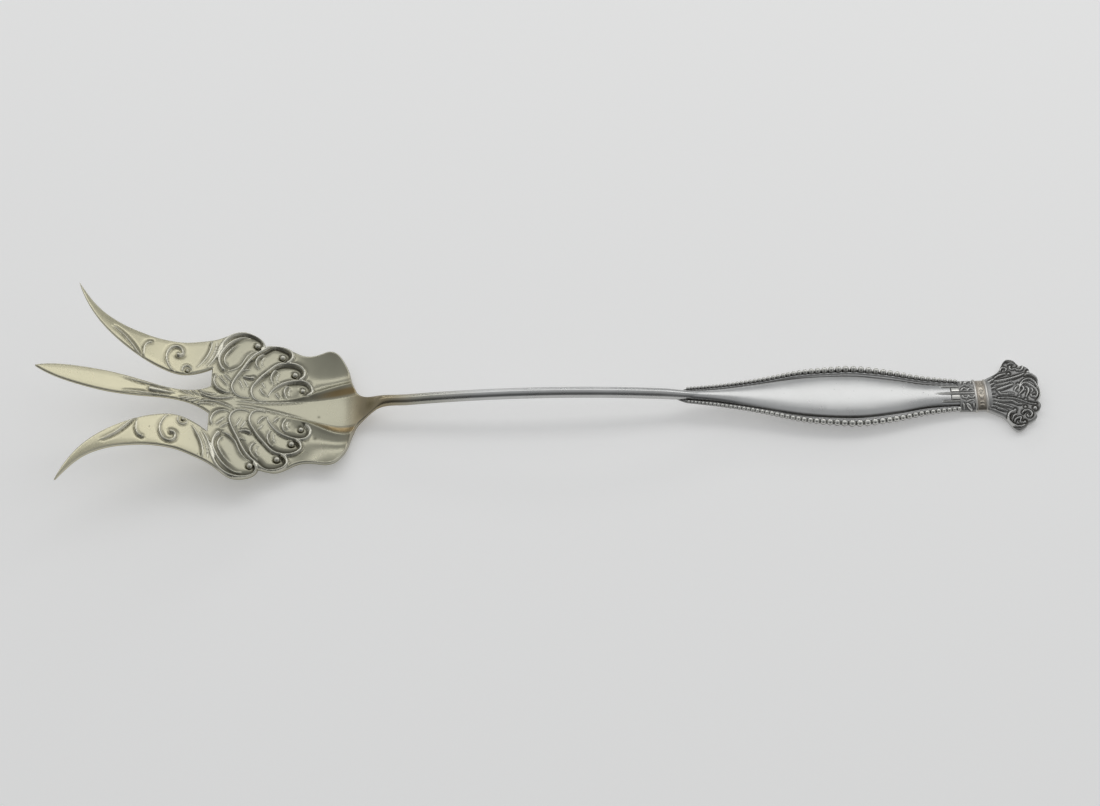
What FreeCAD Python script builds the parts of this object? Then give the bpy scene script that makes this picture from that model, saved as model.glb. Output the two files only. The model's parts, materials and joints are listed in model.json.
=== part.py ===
import FreeCAD, Part
import math
import os

# Salad serving fork, struck in one piece: three tines, a scalloped bowl with a
# carved shell of feathers, a round stem, a beaded handle, a collar and a palmette.
# Millimetres, X along the length from the tines (-) to the palmette (+), Z up.

V = FreeCAD.Vector

# Lengths along the fork, from the tips to the palmette
tine_length = 39.9
bowl_length = 35.8
neck_length = 13.3
stem_length = 70.0
handle_length = 70.5
collar_length = 7.0
palmette_length = 13.5

# Bowl and tines
bowl_half_width = 21.8
tine_half_spread = 29.5
centre_tine_half_width = 2.9
centre_tine_tip_half_width = 0.12
gap_inner = 4.0
gap_outer = 9.4
heel_thickness = 1.5
tip_thickness = 0.9
tine_rise = 25.1
tine_curve = 1.4
outer_tine_droop = 3.0
heel_forward = 5.0
neck_rise = 5.6
sheet_end_length = 6.4
sheet_end_half_width = 1.5
sheet_margin = 3.0

# Modelling of the bowl behind the feathers
wing_half_width = 16.9
rim_rise = 3.0
belly_depth = 0.6
belly_place = 9.0
belly_spread = 4.0
crest_half_width = 1.7
crest_height = 1.0
crest_step = 2.5

# Carved lines and pearls
line_half_width = 0.48
line_height = 0.5
line_sink = 0.3
line_step = 1.5
scroll_step = 1.15
pearl_radius = 0.85
pearl_sides = 6

# Stem
stem_radius = 1.4
stem_arch = 1.6
stem_arch_place = 31
stem_sink = 0.7
stem_into_handle = 8

# Handle
handle_half_width = 9.1
panel_half_width = 5.9
ledge_shoulder = 0.35
handle_sections = 10
panel_height = 1.0
panel_crown = 0.55
panel_sink = 0.3
bead_pitch_small = 0.86
bead_pitch_large = 1.95
bead_seat = 0.25
bead_radius_share = 0.47
bead_overhang_share = 0.35
first_bead = 1.2
last_bead = 0.6

# Collar and palmette
collar_half_width = 4.6
collar_thickness = 3.1
band_width = 1.15
band_height = 0.3
band_places = (3.4, 5.8)
boss_place = 5.15
boss_radius = 0.8
collar_overlap = 1.0
palmette_overlap = 0.8
palmette_half_width = 10.8
palmette_thickness = 1.7
palmette_crown = 0.7
palmette_lift = 0.25

# Stations along X, counted from the tips
tip_x = 0.0
root_x = tip_x + tine_length
cusp_x = root_x + bowl_length
heel_x = cusp_x - heel_forward
neck_x = cusp_x + neck_length
handle_x = neck_x + stem_length
collar_x = handle_x + handle_length
palmette_x = collar_x + collar_length
end_x = palmette_x + palmette_length
sheet_end_x = cusp_x + sheet_end_length


def smooth(points, x):
    """Height at x of a smooth curve through (x, value) points."""
    if x <= points[0][0]:
        return points[0][1]
    if x >= points[-1][0]:
        return points[-1][1]
    slopes = []
    for i in range(len(points)):
        a = points[max(i - 1, 0)]
        b = points[min(i + 1, len(points) - 1)]
        slopes.append((b[1] - a[1]) / (b[0] - a[0]))
    i = max(k for k in range(len(points) - 1) if points[k][0] <= x)
    (x0, y0), (x1, y1) = points[i], points[i + 1]
    h = x1 - x0
    t = (x - x0) / h
    return (y0 * (1 + 2 * t) * (1 - t) ** 2 + slopes[i] * h * t * (1 - t) ** 2
            + y1 * t * t * (3 - 2 * t) - slopes[i + 1] * h * t * t * (1 - t))


def step_up(x, start, stop):
    """Smooth rise from 0 at start to 1 at stop."""
    t = min(max((x - start) / (stop - start), 0.0), 1.0)
    return t * t * (3 - 2 * t)


def wing(side):
    """Height of the wings over the flute between them: a low belly and a raised rim."""
    belly = belly_depth * math.exp(-((side - belly_place) / belly_spread) ** 2)
    return rim_rise * (side / wing_half_width) ** 3 - belly


# The bellies of the wings touch the table
heel_top = heel_thickness - min(wing(0.1 * k) for k in range(int(10 * wing_half_width)))


def bowl_top(x, y):
    """Height of the upper surface of the bowl and tines."""
    side = abs(y)
    if x < heel_x:
        middle = heel_top + tine_rise * ((heel_x - x) / (heel_x - tip_x)) ** tine_curve
    else:
        middle = heel_top + neck_rise * step_up(x, heel_x, neck_x)
    u = (x - root_x) / bowl_length
    droop = outer_tine_droop * (side / tine_half_spread) ** 2 * step_up(-x, -root_x, -tip_x - 6)
    return middle - droop + wing(side) * step_up(u, 0.45, 0.85)


def bowl_bottom(x, y):
    """Height of the underside, which follows the top and thins to the tips."""
    along = step_up(x, tip_x, heel_x)
    return bowl_top(x, y) - tip_thickness - (heel_thickness - tip_thickness) * along


def skin(height, rows=19, columns=19):
    """Everything below a height field over the bowl and tines, finer towards the neck."""
    front, rear = tip_x - sheet_margin, neck_x
    side = tine_half_spread + sheet_margin
    grid = []
    for i in range(rows):
        x = rear - (rear - front) * (1 - i / (rows - 1)) ** 1.5
        row = []
        for j in range(columns):
            y = -side + 2 * side * j / (columns - 1)
            row.append(V(x, y, height(x, y)))
        grid.append(row)
    surface = Part.BSplineSurface()
    surface.interpolate(grid)
    return surface.toShape().extrude(V(0, 0, -60))


def spline(points):
    """An edge along a smooth curve through plan points."""
    curve = Part.BSplineCurve()
    curve.interpolate([V(x, y, 0) for x, y in points])
    return curve.toShape()


def line(a, b):
    return Part.LineSegment(V(a[0], a[1], 0), V(b[0], b[1], 0)).toShape()


def tine(points):
    """Tine outline points: x as a share of the length from the root, y of the spread."""
    return [(root_x - u * tine_length, v * tine_half_spread) for u, v in points]


def bowl(points):
    """Bowl outline points: x as a share of the length from the tine roots, y of the width."""
    return [(root_x + u * bowl_length, v * bowl_half_width) for u, v in points]


def mirrored(points):
    return [(x, -y) for x, y in points]


def half_outline():
    """The upper half of the outline, from the centre tine's tip to the neck."""
    w = centre_tine_half_width
    centre = [(tip_x, centre_tine_tip_half_width), (tip_x + 3.1, 0.48 * w), (tip_x + 10, 0.9 * w),
              (tip_x + 15.5, w), (tip_x + 23, 0.82 * w), (tip_x + 30.5, 0.52 * w), (root_x - 3.6, 0.74 * w),
              (root_x, gap_inner)]
    root = [(root_x, gap_inner), (root_x, gap_outer)]
    outer_tip = tine([(0.84, 1.0)])[0]
    inside = [(root_x, gap_outer)] + tine([(0.1, 0.237), (0.19, 0.206), (0.28, 0.226), (0.38, 0.28),
                                           (0.475, 0.356), (0.575, 0.458), (0.675, 0.593),
                                           (0.75, 0.735)]) + [outer_tip]
    lobe = bowl([(0.08, 0.908), (0.175, 1.0), (0.26, 0.985), (0.325, 0.925), (0.352, 0.845)])
    outside = [outer_tip] + tine([(0.775, 0.873), (0.7, 0.752), (0.61, 0.66), (0.525, 0.603),
                                  (0.435, 0.564), (0.35, 0.538), (0.26, 0.528), (0.17, 0.536),
                                  (0.085, 0.569), (0.0, 0.612)]) + lobe
    second = [lobe[-1]] + bowl([(0.395, 0.856), (0.45, 0.862), (0.505, 0.841), (0.56, 0.794),
                                (0.625, 0.743), (0.695, 0.734), (0.76, 0.757), (0.82, 0.775),
                                (0.868, 0.747), (0.915, 0.656), (0.95, 0.541), (0.972, 0.413),
                                (1.0, 0.289)])
    neck = [second[-1], (cusp_x + 1.1, 4.4), (cusp_x + 3.3, 2.9), (sheet_end_x, sheet_end_half_width)]
    return [spline(centre), line(*root), spline(inside), spline(outside), spline(second), spline(neck)]


def outline():
    edges = half_outline()
    lower = [edge.mirror(V(0, 0, 0), V(0, 1, 0)) for edge in edges]
    tip = line((tip_x, -centre_tine_tip_half_width), (tip_x, centre_tine_tip_half_width))
    back = line((sheet_end_x, -sheet_end_half_width), (sheet_end_x, sheet_end_half_width))
    wire = Part.Wire(Part.__sortEdges__(edges + lower + [tip, back]))
    return Part.Face(wire)


def ridge(path, ground, half_width=line_half_width, height=line_height, step=line_step):
    """A raised line of triangular section, thin at its ends, laid along a plan curve."""
    edge = spline(path)
    count = max(4, int(round(edge.Length / step)) + 1)
    sections = []
    for i in range(count):
        share = i / (count - 1)
        t = edge.getParameterByLength(edge.Length * share)
        p = edge.valueAt(t)
        d = edge.tangentAt(t)
        swell = 0.45 + 0.55 * math.sqrt(4 * share * (1 - share))
        w = half_width * swell
        corners = []
        for offset, lift in ((-w, -line_sink), (0.0, height * swell), (w, -line_sink)):
            x = p.x - d.y * offset
            y = p.y + d.x * offset
            corners.append(V(x, y, ground(x, y) + lift))
        sections.append(Part.makePolygon(corners + corners[:1]))
    return Part.makeLoft(sections, True, True)


def pearl(x, y, z, r, profile=((0.85, -0.9), (1.0, 0.15), (0.5, 0.85))):
    """A few-sided ball, sunk a little into what carries it."""
    rings = []
    for share, height in profile:
        points = []
        for k in range(pearl_sides + 1):
            a = 2 * math.pi * k / pearl_sides
            points.append(V(x + share * r * math.cos(a), y + share * r * math.sin(a), z + height * r))
        rings.append(Part.makePolygon(points))
    return Part.makeLoft(rings, True, True)


def feather_paths():
    """Carved lines on the upper half of the bowl, tips of the lobes first."""
    return [
        bowl([(0.0, 0.5), (0.03, 0.7), (0.11, 0.9), (0.2, 0.96), (0.29, 0.93), (0.34, 0.84)]),
        bowl([(0.07, 0.41), (0.045, 0.55), (0.075, 0.72), (0.15, 0.86), (0.22, 0.91), (0.28, 0.9),
              (0.305, 0.82)]),
        bowl([(0.09, 0.42), (0.14, 0.46), (0.2, 0.58), (0.25, 0.71), (0.3, 0.77)]),
        bowl([(0.025, 0.33), (0.03, 0.22), (0.07, 0.14), (0.14, 0.14)]),
        bowl([(0.54, 0.67), (0.54, 0.75), (0.49, 0.83), (0.42, 0.85), (0.35, 0.78), (0.27, 0.65),
              (0.21, 0.48), (0.15, 0.3), (0.14, 0.19), (0.18, 0.09), (0.25, 0.08)]),
        bowl([(0.34, 0.74), (0.3, 0.66), (0.3, 0.55), (0.33, 0.49)]),
        bowl([(0.62, 0.45), (0.62, 0.54), (0.57, 0.61), (0.5, 0.62), (0.43, 0.58), (0.36, 0.45),
              (0.3, 0.31), (0.275, 0.18), (0.3, 0.08), (0.35, 0.05)]),
        bowl([(0.44, 0.52), (0.41, 0.44), (0.41, 0.36), (0.43, 0.3)]),
        bowl([(0.69, 0.26), (0.69, 0.34), (0.65, 0.4), (0.58, 0.4), (0.5, 0.36), (0.43, 0.25),
              (0.4, 0.17)]),
        bowl([(0.52, 0.3), (0.49, 0.25), (0.5, 0.18), (0.53, 0.12)]),
    ]


def tine_paths():
    """Carved lines on the upper tine and at its root."""
    return [
        tine([(0.02, 0.57), (0.03, 0.5), (0.06, 0.38), (0.1, 0.29)]),
        tine([(0.22, 0.33), (0.17, 0.36), (0.17, 0.42), (0.22, 0.465), (0.27, 0.41), (0.265, 0.33),
              (0.235, 0.24)]),
        tine([(0.61, 0.6), (0.55, 0.53), (0.48, 0.43), (0.42, 0.33)]),
        tine([(0.37, 0.5), (0.405, 0.45), (0.41, 0.38), (0.385, 0.32)]),
        tine([(-0.1, 0.05), (-0.02, 0.02), (0.06, 0.06), (0.1, 0.045)]),
    ]


def feather_pearls():
    """Places of the balls that end the feathers."""
    return bowl([(0.305, 0.83), (0.47, 0.7), (0.57, 0.485), (0.63, 0.275), (0.075, 0.42), (0.29, 0.36)])


def head():
    sheet = skin(bowl_top).cut(skin(bowl_bottom))
    blank = outline()
    blank.translate(V(0, 0, -5))
    body = sheet.common(blank.extrude(V(0, 0, 60)))
    carving = []
    for path in feather_paths() + tine_paths():
        carving.append(ridge(path, bowl_top))
        carving.append(ridge(mirrored(path), bowl_top))
    for x, y in feather_pearls():
        for side in (y, -y):
            carving.append(pearl(x, side, bowl_top(x, side), pearl_radius))
    crest = bowl([(0.48, 0.07), (0.6, 0.13), (0.72, 0.21), (0.83, 0.27), (0.95, 0.3)])
    for path in (crest, mirrored(crest)):
        carving.append(ridge(path, bowl_top, crest_half_width, crest_height, crest_step))
    return body, carving


def stem_axis():
    """The stem's centre line, one slow arch from the neck into the handle."""
    start = V(neck_x, 0, bowl_top(neck_x, 0) - stem_sink)
    end_at = handle_x + stem_into_handle
    end = V(end_at, 0, handle_back(end_at) + stem_radius)
    top = V(neck_x + stem_arch_place, 0, start.z + stem_arch)
    return Part.Arc(start, top, end).toShape()


def stem():
    """A round rod, and the neck that flattens from it into the flute of the bowl."""
    axis = stem_axis()
    start = axis.valueAt(axis.FirstParameter)
    heading = axis.tangentAt(axis.FirstParameter)
    ring = Part.Face(Part.Wire([Part.makeCircle(stem_radius, start, heading)]))
    angle = math.degrees(axis.Length / axis.Curve.Radius)
    rod = ring.revolve(axis.Curve.Center, V(0, 1, 0), angle)
    sections = []
    for behind, a, b, sink in ((-3.0, 2.6, 0.55, 0.75), (0.0, 2.75, 0.65, 0.8), (2.5, 2.7, 0.95, 0.95),
                               (5.0, 2.35, 1.25, 1.1), (7.5, 1.85, 1.35, 1.1), (10.0, 1.55, 1.4, 0.9)):
        x = cusp_x + behind
        ring = Part.Ellipse(V(0, 0, 0), a, b).toShape()
        ring.rotate(V(0, 0, 0), V(1, 0, 0), 90)
        ring.rotate(V(0, 0, 0), V(0, 0, 1), 90)
        ring.translate(V(x, 0, bowl_top(x, 0) - sink))
        sections.append(Part.Wire([ring]))
    sections.append(Part.Wire([Part.makeCircle(stem_radius, start, heading)]))
    return [rod, Part.makeLoft(sections, True, True)]


def handle_edge(x):
    """Half-width over the beads."""
    u = (x - handle_x) / handle_length
    shares = [(0.0, 0.25), (0.13, 0.375), (0.275, 0.58), (0.42, 0.85), (0.515, 0.95), (0.62, 1.0),
              (0.74, 0.88), (0.87, 0.65), (1.0, 0.51)]
    return handle_half_width * smooth(shares, u)


def panel_edge(x):
    """Half-width of the raised panel."""
    u = (x - handle_x) / handle_length
    shares = [(0.0, 0.17), (0.12, 0.28), (0.27, 0.58), (0.45, 0.92), (0.62, 1.0), (0.76, 0.8),
              (0.88, 0.55), (1.0, 0.48)]
    return panel_half_width * smooth(shares, u)


def handle_back(x):
    """Height of the underside of the handle, which lies on the table at the collar."""
    u = (x - handle_x) / handle_length
    return smooth([(-0.1, 4.6), (0.0, 3.9), (0.25, 2.4), (0.5, 1.1), (0.75, 0.3), (1.0, 0.0)], u)


def ledge_top(x):
    u = (x - handle_x) / handle_length
    return handle_back(x) + smooth([(0, 1.5), (0.3, 1.8), (0.62, 2.0), (1.0, 1.9)], u)


def bead_pitch(x):
    u = (x - handle_x) / handle_length
    large, small = bead_pitch_large, bead_pitch_small
    return smooth([(0, small), (0.35, 0.55 * small + 0.45 * large), (0.6, large), (0.8, 0.85 * large),
                   (1.0, 0.62 * large)], u)


def handle():
    """Rounded back with a flat ledge, and the crowned panel raised on it."""
    backs = []
    panels = []
    for k in range(handle_sections):
        x = handle_x + handle_length * k / (handle_sections - 1)
        w = handle_edge(x) - bead_overhang_share * bead_pitch(x)
        top = ledge_top(x)
        back = handle_back(x)
        shoulder = top - ledge_shoulder
        corner = [V(x, -w, shoulder), V(x, -w, top), V(x, w, top), V(x, w, shoulder)]
        arc = Part.Arc(corner[3], V(x, 0, back), corner[0]).toShape()
        backs.append(Part.Wire(Part.makePolygon(corner).Edges + [arc]))
        p = panel_edge(x)
        low, edge = top - panel_sink, top + panel_height - panel_crown
        arc = Part.Arc(V(x, -p, edge), V(x, 0, top + panel_height), V(x, p, edge)).toShape()
        sides = Part.makePolygon([V(x, p, edge), V(x, p, low), V(x, -p, low), V(x, -p, edge)])
        panels.append(Part.Wire([arc] + sides.Edges))
    return [Part.makeLoft(backs, True, True), Part.makeLoft(panels, True, True)]


def beads():
    """Two strings of pearls that grow to the widest part of the handle."""
    bead_profile = ((1.1, -0.8), (0.45, 0.8))
    row = []
    x = handle_x + first_bead
    while x < collar_x - last_bead:
        pitch = bead_pitch(x)
        r = bead_radius_share * pitch
        y = handle_edge(x) - r
        slope = handle_edge(x + 0.5) - handle_edge(x - 0.5)
        for side in (y, -y):
            row.append(pearl(x, side, ledge_top(x) + bead_seat * r, r, bead_profile))
        x += pitch / math.sqrt(1 + slope * slope)
    return row


def oval(x, half_width, thickness):
    """Section of the collar: flat below, crowned above."""
    flat = 0.55 * half_width
    side = 0.45 * thickness
    back = Part.LineSegment(V(x, -flat, 0), V(x, flat, 0)).toShape()
    mid_y, mid_z = 0.82 * half_width, 0.125 * thickness
    right = Part.Arc(V(x, flat, 0), V(x, mid_y, mid_z), V(x, half_width, side)).toShape()
    crown = Part.Arc(V(x, half_width, side), V(x, 0, thickness), V(x, -half_width, side)).toShape()
    left = Part.Arc(V(x, -half_width, side), V(x, -mid_y, mid_z), V(x, -flat, 0)).toShape()
    return Part.Wire([back, right, crown, left])


def collar():
    """A plain socket with two bands and a small boss between them."""
    start = collar_x - collar_overlap
    length = palmette_x - start + palmette_overlap
    parts = [Part.Face(oval(start, collar_half_width, collar_thickness)).extrude(V(length, 0, 0))]
    for offset in band_places:
        band = oval(collar_x + offset, collar_half_width + band_height, collar_thickness + band_height)
        parts.append(Part.Face(band).extrude(V(band_width, 0, 0)))
    parts.append(pearl(collar_x + boss_place, 0, collar_thickness, boss_radius))
    return parts


def palm(points):
    """Palmette points: x as a share of the length from the collar, y of the half-width."""
    return [(palmette_x + u * palmette_length, v * palmette_half_width) for u, v in points]


def palm_top(x, y):
    v = y / palmette_half_width
    return palmette_thickness + palmette_crown * (1 - 0.75 * v * v)


def palmette():
    """A fan plate with a lobed edge."""
    side = palm([(-0.03, 0.42), (0.12, 0.52), (0.26, 0.64), (0.36, 0.85), (0.47, 0.99), (0.6, 0.92),
                 (0.68, 0.8)])
    upper = [spline(side),
             spline([side[-1]] + palm([(0.76, 0.79), (0.84, 0.72), (0.86, 0.6)])),
             spline(palm([(0.86, 0.6), (0.95, 0.52), (0.99, 0.38), (0.975, 0.24)])),
             spline(palm([(0.975, 0.24), (0.994, 0.12), (0.99, -0.06), (0.9, -0.2)]))]
    lower_side = mirrored(side)
    lower = [spline(lower_side),
             spline([lower_side[-1]] + palm([(0.78, -0.74), (0.86, -0.62), (0.8, -0.52)])),
             spline(palm([(0.8, -0.52), (0.9, -0.47), (0.96, -0.36), (0.9, -0.2)]))]
    back = line(side[0], lower_side[0])
    blank = Part.Face(Part.Wire(Part.__sortEdges__(upper + lower + [back])))
    crown = Part.Arc(*[V(palmette_x - 1, y * palmette_half_width, palm_top(0, y * palmette_half_width))
                       for y in (-1.1, 0, 1.1)]).toShape()
    below = crown.extrude(V(palmette_length + 3, 0, 0)).extrude(V(0, 0, -12))
    blank.translate(V(0, 0, palmette_lift))
    return blank.extrude(V(0, 0, 8)).common(below)


def scroll(centre, radius, start, turns, shrink=0.35):
    """Plan points of a volute that winds in from its outer radius."""
    points = []
    steps = max(4, int(abs(turns) * 8))
    for k in range(steps + 1):
        a = math.radians(start) + 2 * math.pi * turns * k / steps
        r = radius * (1 - (1 - shrink) * k / steps)
        points.append((centre[0] + r * math.cos(a), centre[1] + r * math.sin(a)))
    return points


def palmette_relief():
    """Ribs, volutes and small balls on the fan."""
    relief = []
    for angle in (-38, -24, -10, 4, 18, 34):
        a = math.radians(angle)
        near = palm([(0.02, 0.36 * math.sin(a) / 0.6)])[0]
        far = (near[0] + 5.6 * math.cos(a), near[1] + 5.6 * math.sin(a))
        middle = ((near[0] + far[0]) / 2, (near[1] + far[1]) / 2)
        relief.append(ridge([near, middle, far], palm_top))
    upper, lower, heart = palm([(0.5, 0.72), (0.5, -0.74), (0.74, 0.12)])
    for path in (scroll(upper, 2.3, 150, -1.1), scroll(lower, 2.3, -150, 1.1),
                 scroll(heart, 2.9, -130, -0.8, 0.95), scroll(heart, 1.9, -120, -1.0)):
        relief.append(ridge(path, palm_top, step=scroll_step))
    for (x, y), r in zip(palm([(0.83, 0.62), (0.85, -0.42), (0.74, 0.12), (0.5, 0.72), (0.5, -0.74)]),
                         (0.6, 0.6, 0.7, 0.7, 0.7)):
        relief.append(pearl(x, y, palm_top(x, y), r))
    return relief


def fork():
    """All of it as one solid, with the origin on the table under its middle."""
    body, carving = head()
    pieces = stem() + carving + handle() + beads() + collar() + [palmette()] + palmette_relief()
    solid = body.multiFuse(pieces)
    solid.translate(V(-(tip_x + end_x) / 2, 0, 0))
    print("solids:", len(solid.Solids))
    return solid


os.makedirs("parts", exist_ok=True)
fork().exportStep("parts/fork.step")
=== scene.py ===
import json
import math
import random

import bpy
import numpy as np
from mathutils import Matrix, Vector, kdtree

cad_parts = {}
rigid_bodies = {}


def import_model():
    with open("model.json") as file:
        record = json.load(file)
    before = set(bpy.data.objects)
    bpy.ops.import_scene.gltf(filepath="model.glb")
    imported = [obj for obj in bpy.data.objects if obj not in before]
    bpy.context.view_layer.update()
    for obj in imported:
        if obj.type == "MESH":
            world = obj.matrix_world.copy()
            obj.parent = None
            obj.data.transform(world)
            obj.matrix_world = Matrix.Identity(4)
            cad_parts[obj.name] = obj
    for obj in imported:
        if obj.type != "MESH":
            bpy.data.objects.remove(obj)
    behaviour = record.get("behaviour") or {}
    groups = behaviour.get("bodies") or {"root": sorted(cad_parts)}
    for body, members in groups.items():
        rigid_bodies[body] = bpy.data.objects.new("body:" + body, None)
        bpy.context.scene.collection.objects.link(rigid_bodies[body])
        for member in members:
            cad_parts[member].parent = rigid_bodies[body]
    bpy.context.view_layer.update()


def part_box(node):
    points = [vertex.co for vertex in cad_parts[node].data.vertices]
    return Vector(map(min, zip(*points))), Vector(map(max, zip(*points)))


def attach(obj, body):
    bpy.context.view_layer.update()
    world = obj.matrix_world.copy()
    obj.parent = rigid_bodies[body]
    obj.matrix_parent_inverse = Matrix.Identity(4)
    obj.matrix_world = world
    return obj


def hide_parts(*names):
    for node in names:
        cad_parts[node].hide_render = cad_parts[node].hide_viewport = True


bl_info = {
    "name": "Salad serving fork",
    "version": (1, 0, 0),
    "blender": (4, 5, 0),
    "location": "3D View > Sidebar > Fork",
    "description": "Builds the finish and the carved surfaces of a silver salad serving fork",
    "category": "Object",
}

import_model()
CAD_LOW, CAD_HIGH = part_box("fork")

MM = 0.001

# Lengths along the fork in millimetres, and the stations along X that they give
TINE_LENGTH = 39.9
BOWL_LENGTH = 35.8
HEEL_INSET = 5.0
NECK_LENGTH = 13.3
STEM_LENGTH = 70.0
HANDLE_LENGTH = 70.5
COLLAR_LENGTH = 7.0
TIP_X = CAD_LOW.x / MM
ROOT_X = TIP_X + TINE_LENGTH
CUSP_X = ROOT_X + BOWL_LENGTH
HEEL_X = CUSP_X - HEEL_INSET
NECK_X = CUSP_X + NECK_LENGTH
HANDLE_X = NECK_X + STEM_LENGTH
COLLAR_X = HANDLE_X + HANDLE_LENGTH
PALMETTE_X = COLLAR_X + COLLAR_LENGTH
PALMETTE_LENGTH = CAD_HIGH.x / MM - PALMETTE_X

# The sheet of the bowl and tines
HEEL_THICKNESS = 1.5
TIP_THICKNESS = 0.9
TINE_RISE = 25.1
TINE_CURVE = 1.4
TINE_DROOP = 3.0
HEEL_EASE = 2.5
NECK_RISE = 5.6
WING_HALF_WIDTH = 16.9
RIM_RISE = 3.0
BELLY_DEPTH = 0.6
BELLY_PLACE = 9.0
BELLY_SPREAD = 4.0
CENTRE_TINE_HALF_WIDTH = 2.9
CENTRE_TIP_HALF_WIDTH = 0.12
CENTRE_ROOT_HALF_WIDTH = 4.0
OUTER_ROOT_EDGE = 9.4
FLAT_HALF = 0.3
BOWL_RIM_ROUND = 0.42
PALMETTE_RIM_ROUND = 0.4

# The stem
STEM_RADIUS = 1.4
STEM_ARCH = 1.6
STEM_ARCH_PLACE = 31.0
STEM_SINK = 0.7
STEM_INTO_HANDLE = 8.0
NECK_THICKNESS = 0.75
NECK_EDGE = [(CUSP_X + 1.1, 4.4), (CUSP_X + 3.3, 2.9), (CUSP_X + 6.4, 1.75), (CUSP_X + 9.5, STEM_RADIUS),
             (NECK_X, STEM_RADIUS)]

# The handle's panel, beads and collar
PANEL_HEIGHT = 1.0
PANEL_CROWN = 0.5
PANEL_ROLL = 0.15
RAIL_HEIGHT = 0.16
BLOCK_LOW = (-2.3, 0.5)
BLOCK_HIGH = (-0.35, 1.75)
FIRST_BEAD = 1.2
LAST_BEAD = 0.6
BEAD_SHARE = 0.47
COLLAR_HALF_WIDTH = 4.55
COLLAR_THICKNESS = 3.05
COLLAR_SEAM = 0.42
BAND_HEIGHT = 0.3
BAND_HALF_WIDTH = 0.32
BAND_PLACES = (3.7, 6.5)
BOSS_PLACE = 5.1

# The palmette
PALMETTE_BOTTOM = 0.25
PALMETTE_EDGE_TOP = 1.7
PALMETTE_CROWN = 0.7
DEEPEST_CREASE = 0.65

# Studio
CAMERA_TILT = math.radians(33.0)
CAMERA_ROLL = math.radians(-1.519)
CAMERA_DISTANCE = 0.51093
CAMERA_TARGET = Vector((0.000255, 0.002225, 0.0))
FOCAL_PIXELS = 2000.0
IMAGE_WIDTH = 1100.0
FLOOR_SIZE = 6.0
FLOOR_GLOW = 0.24
ROOM_LIGHT = 0.47
ROOM_TINT = (0.93, 0.95, 0.97, 1.0)
DARK_SIDE = 0.15
DARK_DIRECTION = (0.0, -0.9, 0.436)
# Name, place, width, height and watts
SOFTBOXES = (
    ("overhead strip", (0.0, 0.436, 0.671), 0.90, 0.28, 0.80),
    ("left fill", (-0.58, 0.40, 0.58), 0.26, 0.28, 0.14),
    ("right window", (0.46, 0.35, 0.39), 0.42, 0.34, 0.36),
    ("back strip", (-0.11, 0.65, 0.23), 0.45, 0.08, 0.24),
)
# Lighter metal for rubbed parts and for painted highlights
RUBBED_AND_HIGHLIGHT_METAL = (0.82, 0.80, 0.72)

bpy.ops.object.select_all(action="DESELECT")


def size_setting(name, description, default, least):
    return bpy.props.FloatProperty(
        name=name, description=description + ", in millimetres", default=default, min=least)


def colour_setting(name, description, default):
    return bpy.props.FloatVectorProperty(
        name=name, description=description, subtype="COLOR", size=3, default=default, min=0.0, max=1.0)


class ForkSizes(bpy.types.PropertyGroup):
    bowl_half_width: size_setting(
        "Bowl half-width", "From the middle to the tip of the first lobe", 21.8, 10.0)
    tine_half_spread: size_setting(
        "Tine half-spread", "From the middle to the tip of an outer tine", 29.5, 10.0)
    carving_depth: bpy.props.FloatProperty(
        name="Carving depth", description="Share of the full depth of the carved creases",
        default=1.0, min=0.0, max=1.5, subtype="FACTOR")
    sheet_grain: size_setting("Sheet grain", "Size of a face on the bowl and tines", 0.187, 0.15)
    palmette_grain: size_setting("Palmette grain", "Size of a face on the palmette", 0.11, 0.08)
    handle_half_width: size_setting("Handle half-width", "Over the beads at the widest place", 9.1, 5.0)
    panel_half_width: size_setting("Panel half-width", "Of the raised panel at its widest place", 5.9, 2.0)
    bead_small: size_setting("Small bead pitch", "Beside the stem", 0.86, 0.4)
    bead_large: size_setting("Large bead pitch", "At the widest place", 1.95, 0.6)
    palmette_half_width: size_setting("Palmette half-width", "Over the side scrolls", 10.8, 5.0)


class ForkColours(bpy.types.PropertyGroup):
    silver: colour_setting("Silver", "Colour of the bare metal", (0.62, 0.62, 0.61))
    gilt: colour_setting("Gilding", "Colour of the thin gilding on the tines", (0.60, 0.565, 0.405))
    film: colour_setting("Bowl film", "Colour of the duller gilding in the bowl", (0.43, 0.415, 0.32))
    # Also the colour of the shade painted into recesses
    patina_and_shade_colour: colour_setting("Tarnish", "Colour of the patina in the recesses", (0.032, 0.028, 0.020))
    # Also painted as a warm reflection on the flute's walls
    toning_and_painted_reflection: colour_setting("Toning", "Golden-brown toning at the neck", (0.30, 0.205, 0.085))
    floor: colour_setting("Floor", "Colour of the pale floor", (0.90, 0.895, 0.885))


def step_up(x, start, stop):
    """Smooth rise from 0 at start to 1 at stop."""
    t = np.clip((x - start) / (stop - start), 0.0, 1.0)
    return t * t * (3.0 - 2.0 * t)


def hermite(low, high, low_slope, high_slope, run, t):
    """Cubic from low to high at the share t of a run."""
    return (low * (1 + 2 * t) * (1 - t) ** 2 + low_slope * run * t * (1 - t) ** 2
            + high * t * t * (3 - 2 * t) - high_slope * run * t * t * (1 - t))


def smooth(points, x):
    """Value at x of a smooth curve through (x, value) points."""
    px, py = np.array(points, float).T
    last = len(px) - 1
    low = np.maximum(np.arange(last + 1) - 1, 0)
    high = np.minimum(np.arange(last + 1) + 1, last)
    slopes = (py[high] - py[low]) / (px[high] - px[low])
    x = np.clip(x, px[0], px[-1])
    i = np.clip(np.searchsorted(px, x, side="right") - 1, 0, last - 1)
    run = px[i + 1] - px[i]
    return hermite(py[i], py[i + 1], slopes[i], slopes[i + 1], run, (x - px[i]) / run)


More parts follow.
